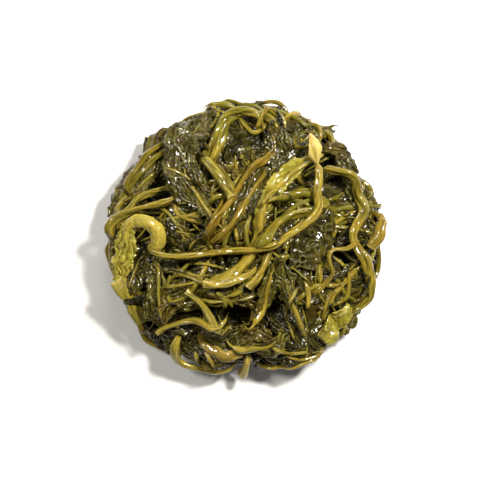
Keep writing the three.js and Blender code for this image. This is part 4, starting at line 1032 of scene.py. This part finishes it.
# Those that can be told one by one: their radius, how golden they are, and their bends as seen from
# above. They lie on all the leaves.
graph = bpy.context.evaluated_depsgraph_get()
leaves = [
    BVHTree.FromObject(piece, graph)
    for piece in bpy.data.objects if piece.name.startswith(("torn_leaves", "wilted"))
]
TOLD_APART = (
    (1.1, 0.3, [[-30, -13], [-18, -12], [-8, -16], [4, -16]]),
    (1.1, 0.3, [[-53, 24], [-45, 33], [-36, 35], [-26, 28]]),
    (1.0, 0.2, [[10, -4], [17, -10], [25, -16], [31, -21]]),
    (1.2, 0.6, [[-44, -24], [-34, -24], [-22, -21]]),
    (1.4, 0.7, [[-25, -56], [-23, -62], [-19, -64.5], [-15, -64.5]]),
    (1.3, 0.7, [[-15, -64], [-17, -60], [-20, -56]]),
    (1.3, 0.4, [[13, -54], [22, -58], [31, -56]]),
    (1.8, 0.4, [[29, -21], [31, -28], [30, -35]]),
    (1.3, 0.3, [[-35, -10], [-31, -16], [-24, -19], [-17, -18]]),
    (1.2, 0.2, [[26, -24], [22, -30], [19, -36], [22, -44], [24, -50]]),
    (1.0, 0.5, [[-43, -8], [-42, -18], [-43, -28], [-41, -40]]),
    (1.3, 0.2, [[-24, 8], [-17, -2], [-15, -9]]),
    (1.8, 0.2, [[-14, -26], [-10, -29], [-9, -33], [-12, -36.5], [-17, -37.5]]),
)
for number, (width, tone, bends) in enumerate(TOLD_APART):
    bends = np.array(bends, dtype=float) + HEART[:2]
    bends = drawn_out(bends, 5 * len(bends))
    over = np.column_stack([bends, np.full(len(bends), 60.0)])
    for place in over:
        hits = [tree.ray_cast(Vector(0.001 * place), Vector((0, 0, -1)), 0.06)[0] for tree in leaves]
        place[2] = max([8.0] + [1000 * hit.z for hit in hits if hit])
    over = evened(over[:, None], 3)[:, 0]
    girth = width * np.array([1, 1, 0.9, 0.7])
    looks = dict(tone=tone, pale=0.1, rust=0.1)
    strings.append(line_over(over, unit(over - HEART), girth, 0.8 * width, 1800 + number, **looks))
piece = strands("strings", strings, green_stalk, 0.85, ribs=3, lumps=0.6, seed=300, sides=9, spacing=0.9)
finished(piece, green_stalk, "stalk")

# The pale floor, the soft lights and the camera straight above, with a long lens, in metres
FLOOR_HALF = 3
SEEN_WIDTH = 0.2405
CAMERA_DISTANCE = 1.3
floor = bpy.data.meshes.new("floor")
corners = [(FLOOR_HALF * x, FLOOR_HALF * y, 0) for x, y in ((-1, -1), (1, -1), (1, 1), (-1, 1))]
floor.from_pydata(corners, [], [(0, 1, 2, 3)])
floor_material = bpy.data.materials.new("pale floor")
floor_material.use_nodes = True
shader = floor_material.node_tree.nodes["Principled BSDF"]
shader.inputs["Base Color"].default_value = (0.86, 0.86, 0.85, 1)
shader.inputs["Roughness"].default_value = 0.8
floor.materials.append(floor_material)
floor = bpy.data.objects.new("floor", floor)
bpy.context.scene.collection.objects.link(floor)

for word, place, size, power in (
    ("key", (0.4, 0.35, 0.8), 0.16, 17.8),
    ("fill", (-0.5, 0.2, 0.85), 0.2, 4.5),
    ("back", (0.0, 0.75, 0.45), 0.2, 2),
):
    lamp = bpy.data.lights.new(f"{word}_light", "AREA")
    lamp.shape, lamp.size, lamp.energy = "SQUARE", size, power
    lamp.color = (1.0, 0.96, 0.90)
    lamp = bpy.data.objects.new(f"{word}_light", lamp)
    lamp.location = place
    lamp.rotation_euler = (-Vector(place)).to_track_quat("-Z", "Y").to_euler()
    bpy.context.scene.collection.objects.link(lamp)
world = bpy.data.worlds.new("studio")
world.use_nodes = True
background = world.node_tree.nodes["Background"]
background.inputs["Color"].default_value = (1, 1, 1, 1)
background.inputs["Strength"].default_value = 0.12
bpy.context.scene.world = world
bpy.context.scene.view_settings.view_transform = "Standard"

lens = bpy.data.cameras.new("camera")
camera = bpy.data.objects.new("camera", lens)
bpy.context.scene.collection.objects.link(camera)
camera.location = (-0.002, -0.0011, 1.325)
lens.sensor_width = 36
lens.lens = lens.sensor_width * CAMERA_DISTANCE / SEEN_WIDTH
lens.clip_end = 10
bpy.context.scene.camera = camera
